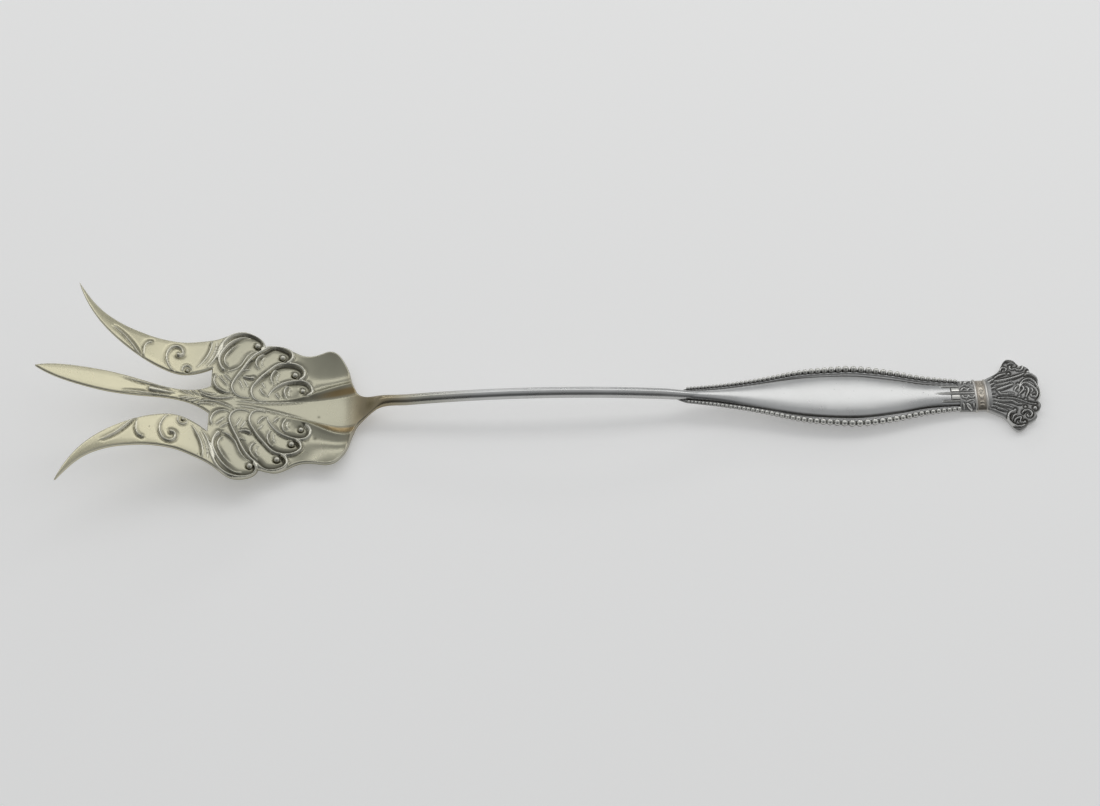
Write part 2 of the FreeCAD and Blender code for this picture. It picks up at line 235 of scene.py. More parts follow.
def curve_through(points, spacing=0.25):
    """Evenly spaced plan points along a smooth curve through a few points."""
    p = np.array(points, float)
    t = np.concatenate(([0.0], np.cumsum(np.hypot(*np.diff(p, axis=0).T))))
    count = len(p)
    if count == 2:
        share = np.linspace(0.0, 1.0, max(2, int(t[-1] / spacing) + 1))[:, None]
        return p[0] + (p[1] - p[0]) * share
    # The slopes join up inside, and each end follows a cubic through up to four points
    ends = min(count, 4)
    matrix = np.zeros((count, count))
    right = np.zeros((count, 2))
    for row, part in ((0, slice(0, ends)), (count - 1, slice(count - ends, count))):
        matrix[row, row] = 1.0
        for axis in (0, 1):
            right[row, axis] = np.polyfit(t[part] - t[row], p[part, axis], ends - 1)[-2]
    for i in range(1, count - 1):
        before, after = t[i] - t[i - 1], t[i + 1] - t[i]
        matrix[i, i - 1:i + 2] = after, 2 * (before + after), before
        right[i] = 3 * (after * (p[i] - p[i - 1]) / before + before * (p[i + 1] - p[i]) / after)
    slope = np.linalg.solve(matrix, right)
    at = np.linspace(0.0, t[-1], max(2, int(round(t[-1] / spacing)) + 1))
    i = np.clip(np.searchsorted(t, at, side="right") - 1, 0, count - 2)
    run = (t[i + 1] - t[i])[:, None]
    return hermite(p[i], p[i + 1], slope[i], slope[i + 1], run, (at - t[i])[:, None] / run)


def wing(side):
    """Height of the wings over the flute between them."""
    belly = BELLY_DEPTH * np.exp(-((side - BELLY_PLACE) / BELLY_SPREAD) ** 2)
    return RIM_RISE * (side / WING_HALF_WIDTH) ** 3 - belly


HEEL_TOP = HEEL_THICKNESS - float(np.min(wing(np.arange(0.0, WING_HALF_WIDTH, 0.1))))


def sheet_top(x, y, sizes):
    """Height of the upper surface of the bowl and tines before it is carved."""
    ahead = 0.5 * (HEEL_X - x + np.sqrt((HEEL_X - x) ** 2 + HEEL_EASE ** 2))
    rise = (ahead / (HEEL_X - TIP_X)) ** TINE_CURVE
    t = np.clip((x - HEEL_X + 1.0) / (NECK_X - HEEL_X + 1.0), 0.0, 1.0)
    middle = HEEL_TOP + TINE_RISE * rise + NECK_RISE * t ** 3 * (10 - 15 * t + 6 * t * t)
    droop = TINE_DROOP * (np.abs(y) / sizes.tine_half_spread) ** 2 * step_up(-x, -ROOT_X, -TIP_X - 6)
    return middle - droop + wing(np.abs(y)) * step_up((x - ROOT_X) / BOWL_LENGTH, 0.45, 0.85)


def sheet_thickness(x):
    return TIP_THICKNESS + (HEEL_THICKNESS - TIP_THICKNESS) * step_up(x, TIP_X, HEEL_X)


def along_handle(points, x):
    """Value at x of a smooth curve through (share of the handle's length, value) points."""
    return smooth(points, (x - HANDLE_X) / HANDLE_LENGTH)


def handle_back(x):
    """Height of the middle of the handle's back."""
    return along_handle([(-0.1, 4.6), (0.0, 3.9), (0.25, 2.4), (0.5, 1.1), (0.75, 0.3), (1.0, 0.0)], x)


def ledge_top(x):
    """Height of the ledge that carries the beads."""
    return handle_back(x) + along_handle([(0, 1.5), (0.3, 1.8), (0.62, 2.0), (1.0, 1.9)], x)


def handle_edge(x, sizes):
    """Half-width of the handle over its beads."""
    return sizes.handle_half_width * along_handle(
        [(0.0, 0.25), (0.13, 0.375), (0.275, 0.58), (0.42, 0.85), (0.515, 0.95), (0.62, 1.0), (0.74, 0.88),
         (0.87, 0.65), (1.0, 0.51)], x)


def panel_edge(x, sizes):
    """Half-width of the raised panel."""
    return sizes.panel_half_width * along_handle(
        [(0.0, 0.17), (0.12, 0.28), (0.27, 0.58), (0.45, 0.92), (0.62, 1.0), (0.76, 0.8), (0.88, 0.55),
         (1.0, 0.48)], x)


def bead_pitch(x, sizes):
    large, small = sizes.bead_large, sizes.bead_small
    return along_handle([(0, small), (0.35, 0.55 * small + 0.45 * large), (0.6, large), (0.8, 0.85 * large),
                         (1.0, 0.62 * large)], x)


def stem_height(x):
    """Height of the stem's centre line: an arc through three points."""
    start = HEEL_TOP + NECK_RISE - STEM_SINK
    end_x = HANDLE_X + STEM_INTO_HANDLE
    a = np.array((NECK_X, start))
    b = np.array((NECK_X + STEM_ARCH_PLACE, start + STEM_ARCH))
    c = np.array((end_x, float(handle_back(end_x)) + STEM_RADIUS))
    centre = np.linalg.solve(2 * np.array((b - a, c - a)), np.array((b @ b - a @ a, c @ c - a @ a)))
    radius = np.hypot(*(a - centre))
    return centre[1] + np.sqrt(radius ** 2 - (np.clip(x, NECK_X, end_x) - centre[0]) ** 2)


def tine(points, sizes):
    """Plan points from shares of the tines' length, from the root, and of their spread."""
    return [(ROOT_X - u * (ROOT_X - TIP_X), v * sizes.tine_half_spread) for u, v in points]


def bowl(points, sizes):
    """Plan points from shares of the bowl's length, from the root, and of its half-width."""
    return [(ROOT_X + u * BOWL_LENGTH, v * sizes.bowl_half_width) for u, v in points]


def head_outline(sizes):
    """Outline of the tines, bowl, neck and stem: the upper half, then its mirror image."""
    centre = [(TIP_X, CENTRE_TIP_HALF_WIDTH)]
    centre += [(TIP_X + along, share * CENTRE_TINE_HALF_WIDTH) for along, share in
               ((3.1, 0.48), (10, 0.9), (15.5, 1.0), (23, 0.82), (30.5, 0.52), (TINE_LENGTH - 3.6, 0.74))]
    centre.append((ROOT_X, CENTRE_ROOT_HALF_WIDTH))
    root = [centre[-1], (ROOT_X, OUTER_ROOT_EDGE)]
    outer_tip = tine([(0.84, 1.0)], sizes)
    inside = tine([(0.1, 0.237), (0.19, 0.206), (0.28, 0.226), (0.38, 0.28), (0.475, 0.356),
                   (0.575, 0.458), (0.675, 0.593), (0.75, 0.735)], sizes)
    outside = tine([(0.775, 0.873), (0.7, 0.752), (0.61, 0.66), (0.525, 0.603), (0.435, 0.564),
                    (0.35, 0.538), (0.26, 0.528), (0.17, 0.536), (0.085, 0.569), (0.0, 0.612)], sizes)
    lobe = bowl([(0.08, 0.908), (0.175, 1.0), (0.26, 0.985), (0.325, 0.925), (0.352, 0.845)], sizes)
    second = bowl([(0.395, 0.856), (0.45, 0.862), (0.505, 0.841), (0.56, 0.794), (0.625, 0.743),
                   (0.695, 0.734), (0.76, 0.757), (0.82, 0.775), (0.868, 0.747), (0.915, 0.656),
                   (0.95, 0.541), (0.972, 0.413), (1.0, 0.289)], sizes)
    stem = [NECK_EDGE[-1], (HANDLE_X + 10, STEM_RADIUS)]
    pieces = (centre, root, [root[-1]] + inside + outer_tip, outer_tip + outside + lobe,
              [lobe[-1]] + second, [second[-1]] + NECK_EDGE, stem)
    upper = np.concatenate([curve_through(piece)[:-1] for piece in pieces] + [[stem[-1]]])
    return np.concatenate((upper, upper[::-1] * (1, -1)))


# Tables of carved lines. A row holds the line's plan points in millimetres from the station that the
# table names, its half-width, its height, the crease on its left and on its right, and its swell. A crease
# is (depth at the start, depth at the end, reach). A swell is the share of the width at the start, near
# the start, further on and at the end.
SWELL = (0.35, 0.95, 0.95, 0.35)
SWELL_PLACES = (0.0, 0.12, 0.6, 1.0)
HOOK = (1.35, 1.1, 0.9, 0.4)
EVEN = (0.8, 1.0, 1.0, 0.6)
RIM = (0.05, 0.05, 0.3)
SOFT = (0.2, 0.2, 0.28)
DEEP = (0.5, 0.5, 0.3)
FIRM = (0.4, 0.4, 0.24)

# One half of the bowl, from the root of the tines
FINE = (0.18, 0.18, 0.26)
HATCH = (0.18, 0.18, 0.25)
BOWL_LINES = [
    ([(11.7, 17.3), (12.2, 18.5), (11.8, 19.9), (10.4, 20.9), (8.3, 21.3), (6.1, 21.0), (4.2, 20.0),
     (2.7, 18.3), (1.3, 15.3), (-0.1, 11.0)], 0.44, 0.34, (0.62, 0.2, 0.7), RIM, HOOK),
    ([(2.8, 9.5), (1.9, 10.9), (1.6, 13.0), (2.3, 15.1), (3.5, 17.1), (5.4, 19.1), (7.0, 20.1),
     (8.7, 20.1)], 0.4, 0.34, (0.3, 0.05, 0.4), (0.4, 0.6, 0.6), HOOK),
    ([(4.1, 10.4), (2.9, 11.8), (2.9, 13.4), (3.7, 15.1), (4.9, 16.8), (6.2, 18.0)], 0.18, 0.2, FINE,
     (0.25, 0.4, 0.4)),
    ([(3.5, 9.0), (5.0, 9.7), (6.6, 11.1), (7.5, 13.0), (8.4, 14.8), (9.6, 16.0), (10.8, 16.7)], 0.22, 0.14,
     (0.4, 0.35, 0.5), (0.1, 0.1, 0.3)),
    ([(1.2, 7.6), (0.7, 5.6), (1.2, 4.2), (2.3, 3.1), (3.7, 2.7), (5.2, 3.1)], 0.3, 0.3, (0.25, 0.2, 0.35),
     (0.4, 0.5, 0.35)),
    ([(18.3, 14.0), (19.1, 14.8), (19.4, 16.2), (18.7, 17.4), (17.1, 18.3), (15.4, 18.7), (13.8, 18.3),
     (12.4, 17.0), (10.7, 15.6), (9.4, 14.1), (8.3, 12.3), (7.3, 10.3), (6.3, 8.4), (5.3, 6.2), (5.0, 4.7),
     (5.5, 3.2), (6.5, 2.2), (8.1, 1.8), (9.5, 2.1)], 0.44, 0.44, (0.68, 0.3, 0.7), (0.2, 0.55, 0.35),
     HOOK),
    ([(12.4, 16.0), (11.1, 14.7), (10.5, 13.3), (10.8, 11.8), (11.8, 10.9)], 0.28, 0.32, (0.4, 0.4, 0.5),
     (0.3, 0.3, 0.4)),
    ([(12.6, 14.9), (11.9, 13.6), (12.0, 12.5), (12.7, 11.6)], 0.16, 0.18, FINE, FINE),
    ([(21.7, 9.3), (22.5, 10.2), (22.6, 11.4), (21.7, 12.7), (20.3, 13.4), (18.5, 13.6), (16.1, 13.0),
     (13.9, 10.9), (12.2, 9.0), (10.9, 7.1), (9.8, 4.8), (9.9, 3.2), (10.7, 1.9), (12.2, 1.4), (13.5, 1.7)],
     0.44, 0.44, (0.68, 0.3, 0.65), (0.3, 0.55, 0.35), HOOK),
    ([(15.7, 11.6), (14.6, 9.9), (14.5, 8.1), (15.2, 6.8)], 0.28, 0.32, (0.4, 0.4, 0.45), (0.3, 0.3, 0.35)),
    ([(16.4, 10.5), (15.8, 9.2), (15.9, 8.1), (16.4, 7.3)], 0.16, 0.18, FINE, FINE),
    ([(23.8, 4.7), (24.5, 5.6), (24.5, 7.0), (23.6, 8.2), (21.8, 8.7), (19.8, 8.4), (17.7, 7.6),
     (15.9, 6.2), (14.7, 4.7), (14.0, 3.1)], 0.42, 0.44, (0.65, 0.3, 0.55), (0.2, 0.35, 0.35), HOOK),
    ([(18.8, 6.9), (17.9, 5.6), (18.0, 4.2), (18.9, 3.0)], 0.26, 0.3, (0.35, 0.35, 0.4), (0.4, 0.4, 0.4)),
    ([(19.6, 6.2), (18.9, 5.2), (19.1, 4.2), (19.8, 3.4)], 0.15, 0.18, FINE, FINE),
    ([(7.5, 8.3), (9.0, 7.9), (10.1, 8.1)], 0.3, 0.3, (0.3, 0.4, 0.3), (0.3, 0.4, 0.3),
     (0.4, 0.8, 1.2, 1.5)),
    ([(-2.6, 1.5), (-1.0, 0.7), (1.6, 0.5), (4.5, 1.3), (6.3, 2.0)], 0.24, 0.22, (0.2, 0.2, 0.3),
     (0.35, 0.3, 0.3)),
    ([(-3.1, 2.4), (-1.3, 1.5), (0.5, 1.4), (1.9, 2.0)], 0.2, 0.2, (0.15, 0.15, 0.3), (0.3, 0.2, 0.3)),
    ([(6.1, 0.8), (9.6, 0.8), (13.1, 1.0), (16.6, 1.5), (20.1, 2.1), (23.6, 2.7)], 0.2, 0.0,
     (0.24, 0.24, 0.26), (0.24, 0.24, 0.26)),
    ([(11.9, 5.4), (12.6, 3.9), (13.9, 3.0)], 0.22, 0.22, (0.25, 0.25, 0.3), FINE),
    ([(15.7, 4.5), (16.3, 3.4), (17.2, 2.7)], 0.2, 0.2, (0.25, 0.25, 0.3), FINE),
] + [
    (ends, 0.2, 0.16, HATCH, HATCH) for ends in (
        [(1.8, 7.3), (4.4, 4.4)], [(2.9, 8.0), (5.4, 5.6)], [(6.7, 7.0), (8.0, 4.0)],
        [(7.9, 7.2), (9.1, 4.6)], [(12.1, 7.2), (13.2, 5.2)], [(7.2, 10.0), (9.3, 10.6)])
]
# Place and radius of each pearl, and of each stain, from the root of the tines
SCROLL_PEARLS = ((10.6, 18.0, 0.8), (17.0, 15.3, 0.8), (20.3, 10.4, 0.78), (22.4, 5.8, 0.72),
                 (-5.75, 7.2, 0.4))
STAINS = ((26.7, -1.7, 0.3), (26.0, -8.2, 0.42))

# The upper outer tine and one half of the centre tine, from the root of the tines
TINE_LINES = [
    ([(-0.6, 17.3), (-0.7, 14.8), (-1.7, 11.8), (-3.7, 8.4)], 0.28, 0.26, (0.12, 0.12, 0.3),
     (0.45, 0.45, 0.35)),
    ([(2.5, 17.3), (1.2, 13.9), (0.1, 11.4), (-1.2, 9.3)], 0.32, 0.26, (0.35, 0.3, 0.3), (0.15, 0.15, 0.3)),
    ([(0.7, 17.6), (0.4, 14.6), (-0.7, 11.6), (-2.4, 8.8)], 0.16, 0.14, SOFT, SOFT),
    ([(-8.1, 11.4), (-7.3, 11.7), (-7.2, 12.9), (-8.1, 13.9), (-9.4, 13.8), (-10.4, 12.7), (-10.9, 10.6),
     (-10.4, 8.4), (-9.5, 6.9), (-8.7, 6.2)], 0.34, 0.42, (0.26, 0.3, 0.3), (0.26, 0.3, 0.4),
     (1.7, 1.1, 0.9, 0.4)),
    ([(-6.7, 6.7), (-6.8, 8.0), (-5.9, 8.7), (-4.9, 8.1), (-4.7, 7.0)], 0.22, 0.24, (0.2, 0.2, 0.25),
     (0.3, 0.3, 0.3)),
    ([(-24.4, 17.2), (-22.1, 15.5), (-19.6, 13.0), (-17.7, 10.4), (-16.7, 8.9)], 0.3, 0.26,
     (0.4, 0.45, 0.35), (0.15, 0.15, 0.3), (0.2, 0.7, 1.0, 0.8)),
    ([(-14.8, 14.0), (-15.9, 13.2), (-16.3, 11.3), (-16.2, 9.6)], 0.28, 0.28, (0.15, 0.15, 0.3),
     (0.4, 0.4, 0.35), (1.1, 1.0, 0.9, 0.5)),
    ([(-13.7, 0.0), (-12.3, 0.0), (-10.7, 0.0), (-8.3, 0.0)], 0.72, 0.42, (0.34, 0.2, 0.3),
     (0.34, 0.2, 0.3), (1.0, 1.0, 0.7, 0.3)),
    ([(-20.8, 2.3), (-17.3, 1.6), (-13.1, 1.3), (-9.5, 1.0)], 0.22, 0.2, (0.1, 0.1, 0.25), (0.34, 0.3, 0.3),
     (0.2, 0.6, 1.0, 0.8)),
    ([(-7.3, 1.4), (-5.9, 0.8), (-4.3, 0.2)], 0.2, 0.2, SOFT, SOFT),
    ([(-5.9, 1.6), (-4.7, 0.9), (-3.1, 0.3)], 0.2, 0.2, SOFT, SOFT),
    ([(-4.5, 1.9), (-3.3, 1.1), (-1.9, 0.5)], 0.2, 0.2, SOFT, SOFT),
]

# One half of the panel's end, from the collar
PANEL_LINES = [
    ([(-6.6, 0.0), (0.4, 0.0)], 0.2, 0.16, (0.1, 0.14, 0.16), (0.1, 0.14, 0.16), (0.2, 0.6, 1.0, 1.0)),
    ([(-5.2, 2.25), (0.4, 2.2)], 0.2, 0.14, (0.14, 0.14, 0.16), (0.14, 0.14, 0.16), (0.2, 0.8, 1.0, 1.0)),
]

# One half of the collar, from its start
LEAF = (0.25, 0.25, 0.2)
COLLAR_LINES = [
    ([(-0.6, 0.0), (3.3, 0.0)], 0.2, 0.24, LEAF, LEAF, (1.0, 1.0, 1.0, 0.8)),
    ([(0.3, 0.6), (0.8, 1.5), (1.4, 1.4), (1.7, 0.7)], 0.2, 0.2, LEAF, LEAF),
    ([(1.9, 0.6), (2.4, 1.4), (3.0, 1.3), (3.3, 0.6)], 0.2, 0.2, LEAF, LEAF),
    ([(0.5, 2.2), (1.2, 2.5), (2.1, 2.1), (3.2, 2.3)], 0.2, 0.2, LEAF, LEAF),
    ([(1.1, 3.0), (1.7, 3.6), (2.3, 4.3)], 0.42, 0.3, LEAF, LEAF, (0.3, 0.8, 1.0, 0.6)),
    ([(0.3, 3.0), (0.5, 3.7), (0.4, 4.3)], 0.26, 0.22, LEAF, LEAF),
    ([(2.9, 3.0), (3.1, 3.9)], 0.2, 0.2, LEAF, LEAF),
]

# The palmette, from the collar's end
FINE_RIB = (0.28, 0.28, 0.2)
NICK = (-0.1, -0.1, 0.1)
PALMETTE_LINES = [
    ([(10.2, 5.4), (11.6, 5.5), (12.7, 4.8), (13.2, 3.6), (12.9, 2.2)], 0.26, 0.34, (0.1, 0.1, 0.3), DEEP,
     EVEN),
    ([(12.7, 2.1), (13.2, 0.9), (13.2, -0.4), (12.7, -1.6), (11.9, -2.4)], 0.26, 0.34, (0.1, 0.1, 0.3),
     DEEP, EVEN),
    ([(8.2, 2.0), (9.1, 3.4), (10.4, 4.2), (11.7, 3.9), (12.5, 2.8), (12.7, 1.5)], 0.2, 0.3, FIRM, FIRM,
     EVEN),
    ([(7.9, 0.4), (8.7, 2.3), (9.8, 3.0), (11.1, 2.3), (12.1, 1.2), (12.5, -0.2), (11.9, -1.3),
     (11.0, -1.2), (10.8, -0.4)], 0.22, 0.34, FIRM, FIRM, EVEN),
    ([(8.9, 2.0), (9.2, 1.2), (8.6, 0.4), (7.8, -0.5)], 0.2, 0.3, FIRM, FIRM, EVEN),
    ([(9.8, 1.8), (10.4, 0.8), (9.9, -0.4), (9.5, -1.3)], 0.22, 0.34, FIRM, FIRM, EVEN),
    ([(11.0, 1.4), (11.4, 0.6), (11.0, 0.1)], 0.18, 0.28, FINE_RIB, FINE_RIB, EVEN),
    ([(6.8, 0.6), (7.4, 1.7), (8.1, 2.2)], 0.18, 0.24, FINE_RIB, FINE_RIB),
    ([(2.4, -1.2), (5.0, -1.2), (7.2, -1.7), (8.8, -2.4), (10.5, -3.1), (11.8, -3.3)], 0.14, 0.0,
     (0.65, 0.65, 0.32), (0.65, 0.65, 0.32), EVEN),
    ([(2.1, 3.7), (4.8, 4.1), (7.3, 4.8), (9.9, 5.9)], 0.3, 0.34, DEEP, DEEP, EVEN),
    ([(2.4, 1.1), (4.4, 1.8), (6.6, 2.7)], 0.32, 0.34, DEEP, DEEP, EVEN),
    ([(2.1, 2.5), (4.1, 2.9), (6.7, 3.8)], 0.18, 0.26, FIRM, FIRM),
    ([(1.7, -1.9), (3.9, -2.3), (6.1, -2.6), (7.0, -3.2), (8.1, -3.3)], 0.24, 0.32, DEEP, DEEP, EVEN),
    ([(1.5, -2.9), (3.7, -3.6), (5.7, -4.3)], 0.22, 0.28, FIRM, FIRM, EVEN),
    ([(1.9, -4.3), (4.2, -5.2)], 0.22, 0.28, DEEP, DEEP, EVEN),
    ([(2.3, 4.8), (3.7, 5.6), (5.2, 6.0)], 0.22, 0.28, DEEP, DEEP, EVEN),
    ([(1.1, 5.6), (2.2, 6.2), (3.6, 6.9)], 0.22, 0.2, FINE_RIB, FINE_RIB),
    ([(2.7, 0.6), (3.3, -0.2), (4.7, -0.2), (6.5, -0.3)], 0.2, 0.28, FIRM, FIRM, EVEN),
    ([(4.6, 8.9), (5.1, 9.9), (6.3, 10.2), (7.8, 9.9), (9.3, 9.2), (9.9, 8.3), (9.6, 7.3), (8.7, 7.0),
     (7.8, 7.5), (7.1, 7.3), (6.6, 8.1)], 0.26, 0.36, FINE_RIB, DEEP, EVEN),
    ([(4.2, 7.1), (4.9, 7.9), (5.6, 7.7), (5.3, 6.9)], 0.2, 0.28, FIRM, FIRM, EVEN),
    ([(6.2, 9.0), (7.2, 9.3), (8.2, 8.8)], 0.18, 0.26, FIRM, FIRM),
    ([(6.1, -5.5), (4.9, -5.7), (4.2, -6.9), (4.4, -8.3), (5.4, -9.4), (6.7, -9.7), (7.9, -9.3)], 0.28,
     0.38, DEEP, FINE_RIB, EVEN),
    ([(5.7, -8.3), (6.6, -7.3), (7.3, -7.2), (7.0, -8.2), (7.9, -8.6)], 0.2, 0.32, FIRM, FIRM, EVEN),
    ([(5.3, -7.5), (5.7, -6.6), (6.7, -6.3)], 0.2, 0.3, FIRM, FIRM),
    ([(7.9, -5.9), (9.0, -5.2), (10.0, -5.6), (10.2, -6.5), (9.5, -7.1), (9.0, -6.5)], 0.24, 0.34, FIRM,
     DEEP, EVEN),
] + [
    ([(0.3, y), (2.0, spread)], 0.22, 0.26, FIRM, FIRM, EVEN) for y, spread in (
        (3.3, 4.4), (2.2, 3.2), (1.2, 1.9), (0.2, 0.4), (-0.8, -0.8), (-1.8, -1.7), (-2.8, -2.7),
        (-3.7, -4.0))
]
# The two ribs with nicks across them: their ends and the number of nicks
NICKED_RIBS = (((2.8, 3.8), (9.5, 5.7), 12), ((2.8, 1.2), (6.3, 2.6), 7))
PALMETTE_BALLS = (
    (11.2, 6.4, 0.55), (11.3, -4.5, 0.52), (9.0, 8.1, 0.4), (6.1, 6.1, 0.34), (8.0, 2.7, 0.3),
    (6.2, -4.9, 0.36), (8.2, -8.4, 0.34), (6.8, 8.4, 0.3), (7.6, 0.9, 0.26), (9.6, 1.0, 0.26),
    (7.8, -1.0, 0.28), (9.3, -1.9, 0.3), (8.9, -4.1, 0.34), (11.6, -0.9, 0.24))


def beside(line, x, y, reach):
    """The points within reach of a plan line, their signed distance (left +) and share of its length."""
    low, high = line.min(0) - reach, line.max(0) + reach
    near = np.flatnonzero((x > low[0]) & (x < high[0]) & (y > low[1]) & (y < high[1]))
    p = np.stack((x[near], y[near]), 1)[:, None]
    a, b = line[:-1], line[1:]
    run = b - a
    length = np.hypot(*run.T)
    t = np.clip(((p - a) * run).sum(2) / length ** 2, 0.0, 1.0)
    gap = p - (a + run * t[..., None])
    far = (gap ** 2).sum(2)
    i = far.argmin(1)
    rows = np.arange(len(near))
    side = run[i, 0] * gap[rows, i, 1] - run[i, 1] * gap[rows, i, 0]
    distance = np.sqrt(far[rows, i]) * np.where(side < 0, -1.0, 1.0)
    before = np.concatenate(([0.0], np.cumsum(length)))
    return near, distance, (before[i] + t[rows, i] * length[i]) / before[-1]


def press_line(ground, raised, x, y, points, full_width, height, left_crease, right_crease, swell=SWELL):
    """Lowers ground and lifts raised where one carved line passes."""
    reach = 1.4 * full_width + 3.5 * max(left_crease[2], right_crease[2])
    near, distance, share = beside(curve_through(points), x, y, reach)
    swell = smooth(list(zip(SWELL_PLACES, swell)), share)
    width = full_width * swell
    fade = np.clip(1.6 * swell - 0.45, 0.0, 1.0)
    (left, left_reach), (right, right_reach) = [
        ((start + (end - start) * step_up(share, 0.3, 0.75)) * fade, crease_reach)
        for start, end, crease_reach in (left_crease, right_crease)]
    beyond = np.maximum(np.abs(distance) - width, 0.0)
    fall = np.where(distance > 0, left * np.exp(-(beyond / left_reach) ** 1.4),
                    right * np.exp(-(beyond / right_reach) ** 1.4))
    across = np.clip(0.5 + 0.5 * distance / width, 0.0, 1.0)
    inside = np.abs(distance) < width
    crease = np.where(inside, right + (left - right) * across, fall)
    ground[near] = np.minimum(ground[near], -crease)
    rope = (height * swell + 0.5 * (left + right)) * np.sqrt(
        np.clip(1 - np.abs(distance / width) ** 2.8, 0.0, 1.0))
    raised[near] = np.maximum(raised[near], np.where(inside, rope, 0.0))


def carve(lines, x, y):
    """Depth of the creases and height of the raised lines at each point."""
    ground, raised = np.zeros(len(x)), np.zeros(len(x))
    for line in lines:
        press_line(ground, raised, x, y, *line)
    return ground, raised


def seat_ball(x, y, ball, depth, ground):
    """Sinks a crease round a ball, and says how far each point is from its middle."""
    gap = np.hypot(x - ball[0], y - ball[1])
    np.minimum(ground, -depth * np.exp(-(np.maximum(gap - ball[2], 0.0) / 0.3) ** 1.5), out=ground)
    return gap


def crest(x, side):
    """Height of the flute's walls and of the crests above them, from the root of the tines."""
    floor_edge = smooth([(13.1, 0.9), (17.1, 1.5), (22.1, 2.4), (27.1, 3.3), (32.1, 4.1), (37.4, 4.2)], x)
    top = smooth([(13.1, 1.4), (17.1, 2.2), (22.1, 3.4), (25.4, 4.6), (28.8, 6.1), (31.6, 7.1),
                  (34.1, 7.5), (37.4, 7.3)], x)
    height = 1.35 * step_up(x, 15.6, 28.1) * (1 - step_up(x, 34.1, 40.1))
    t = np.clip((top - side) / (top - floor_edge), 0.0, 1.0)
    beyond = np.maximum(side - top, 0.0)
    outer = np.exp(-(np.sqrt(beyond ** 2 + 0.09) - 0.3) / 1.9)
    return height * np.where(side < top, (1 - t) ** 1.35, outer), 0.35 * height * np.sin(np.pi * t) ** 2


def nick_lines():
    """Short nicks across two of the palmette's ribs."""
    lines = []
    for (x0, y0), (x1, y1), count in NICKED_RIBS:
        for share in (np.arange(count) + 0.5) / count:
            x, y = x0 + (x1 - x0) * share, y0 + (y1 - y0) * share
            lines.append(([(x - 0.16, y - 0.3), (x + 0.16, y + 0.3)], 0.12, 0.0, NICK, NICK))
    return lines


def select_only(obj):
    bpy.ops.object.select_all(action="DESELECT")
    obj.select_set(True)
    bpy.context.view_layer.objects.active = obj


def add_mesh(name, points, faces, edges=()):
    mesh = bpy.data.meshes.new(name)
    mesh.from_pydata([tuple(p) for p in points], list(edges), list(faces))
    obj = bpy.data.objects.new(name, mesh)
    bpy.context.scene.collection.objects.link(obj)
    return obj


def cut_sheet(name, outline, grain):
    """A flat sheet cut to a plan outline and divided into small even faces."""
    count = len(outline)
    points = np.column_stack((outline, np.full(count, -FLAT_HALF)))
    obj = add_mesh(name, points, (), [(i, (i + 1) % count) for i in range(count)])
    select_only(obj)
    bpy.ops.object.mode_set(mode="EDIT")
    bpy.ops.mesh.select_all(action="SELECT")
    bpy.ops.mesh.edge_face_add()
    bpy.ops.mesh.extrude_region_move(TRANSFORM_OT_translate={"value": (0.0, 0.0, 2 * FLAT_HALF)})
    bpy.ops.mesh.select_all(action="SELECT")
    bpy.ops.mesh.normals_make_consistent(inside=False)
    bpy.ops.object.mode_set(mode="OBJECT")
    remesh = obj.modifiers.new("even faces", "REMESH")
    remesh.mode = "VOXEL"
    remesh.voxel_size = grain
    bpy.ops.object.modifier_apply(modifier=remesh.name)
    return obj


def thin_back(obj, end_x):
    """Larger faces on the plain back of the flat sheet, up to end_x and clear of the rim."""
    select_only(obj)
    for face in obj.data.polygons:
        face.select = face.normal.z < -0.99 and face.center.x < end_x
    bpy.context.tool_settings.mesh_select_mode = (False, False, True)
    bpy.ops.object.mode_set(mode="EDIT")
    for ring in range(5):
        bpy.ops.mesh.select_less()
    bpy.ops.mesh.unsubdivide(iterations=4)
    bpy.ops.object.mode_set(mode="OBJECT")


def read_points(obj):
    points = np.empty(len(obj.data.vertices) * 3)
    obj.data.vertices.foreach_get("co", points)
    return points.reshape(-1, 3)


def write_points(obj, points):
    obj.data.vertices.foreach_set("co", np.ascontiguousarray(points, float).ravel())
    obj.data.update()


def store(obj, name, values):
    """Keeps a value for each point, which the finish reads."""
    layer = obj.data.attributes.new(name, "FLOAT", "POINT")
    layer.data.foreach_set("value", np.ascontiguousarray(values, np.float32))


def true_edge(points, outline):
    """Draws the outermost points of a sheet onto its outline, and says how far each is from it in plan."""
    closed = np.concatenate((outline, outline[:1]))
    run = np.hypot(*np.diff(closed, axis=0).T)
    dense = [closed[i] + (closed[i + 1] - closed[i]) * k / n
             for i, n in enumerate(np.maximum(1, np.ceil(run / 0.03)).astype(int)) for k in range(n)]
    tree = kdtree.KDTree(len(dense))
    for i, (x, y) in enumerate(dense):
        tree.insert((x, y, 0.0), i)
    tree.balance()
    found = [tree.find((x, y, 0.0)) for x, y in points[:, :2]]
    nearest = np.array([place[:2] for place, index, gap in found])
    distance = np.array([gap for place, index, gap in found])
    share = step_up(distance, 0.0, 0.16)
    points[:, :2] = nearest + (points[:, :2] - nearest) * share[:, None]
    return distance * share


def finish_piece(obj, finish, context):
    """Gives a piece its finish and its body, and hides the node of the CAD model that it stands for."""
    obj.data.transform(Matrix.Scale(MM, 4))
    obj.data.materials.clear()
    obj.data.materials.append(old_silver("old silver, " + finish, context.scene.fork_colours))
    select_only(obj)
    bpy.ops.object.shade_smooth()
    obj.select_set(False)
    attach(obj, "root")
    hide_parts("fork")
    return {"FINISHED"}


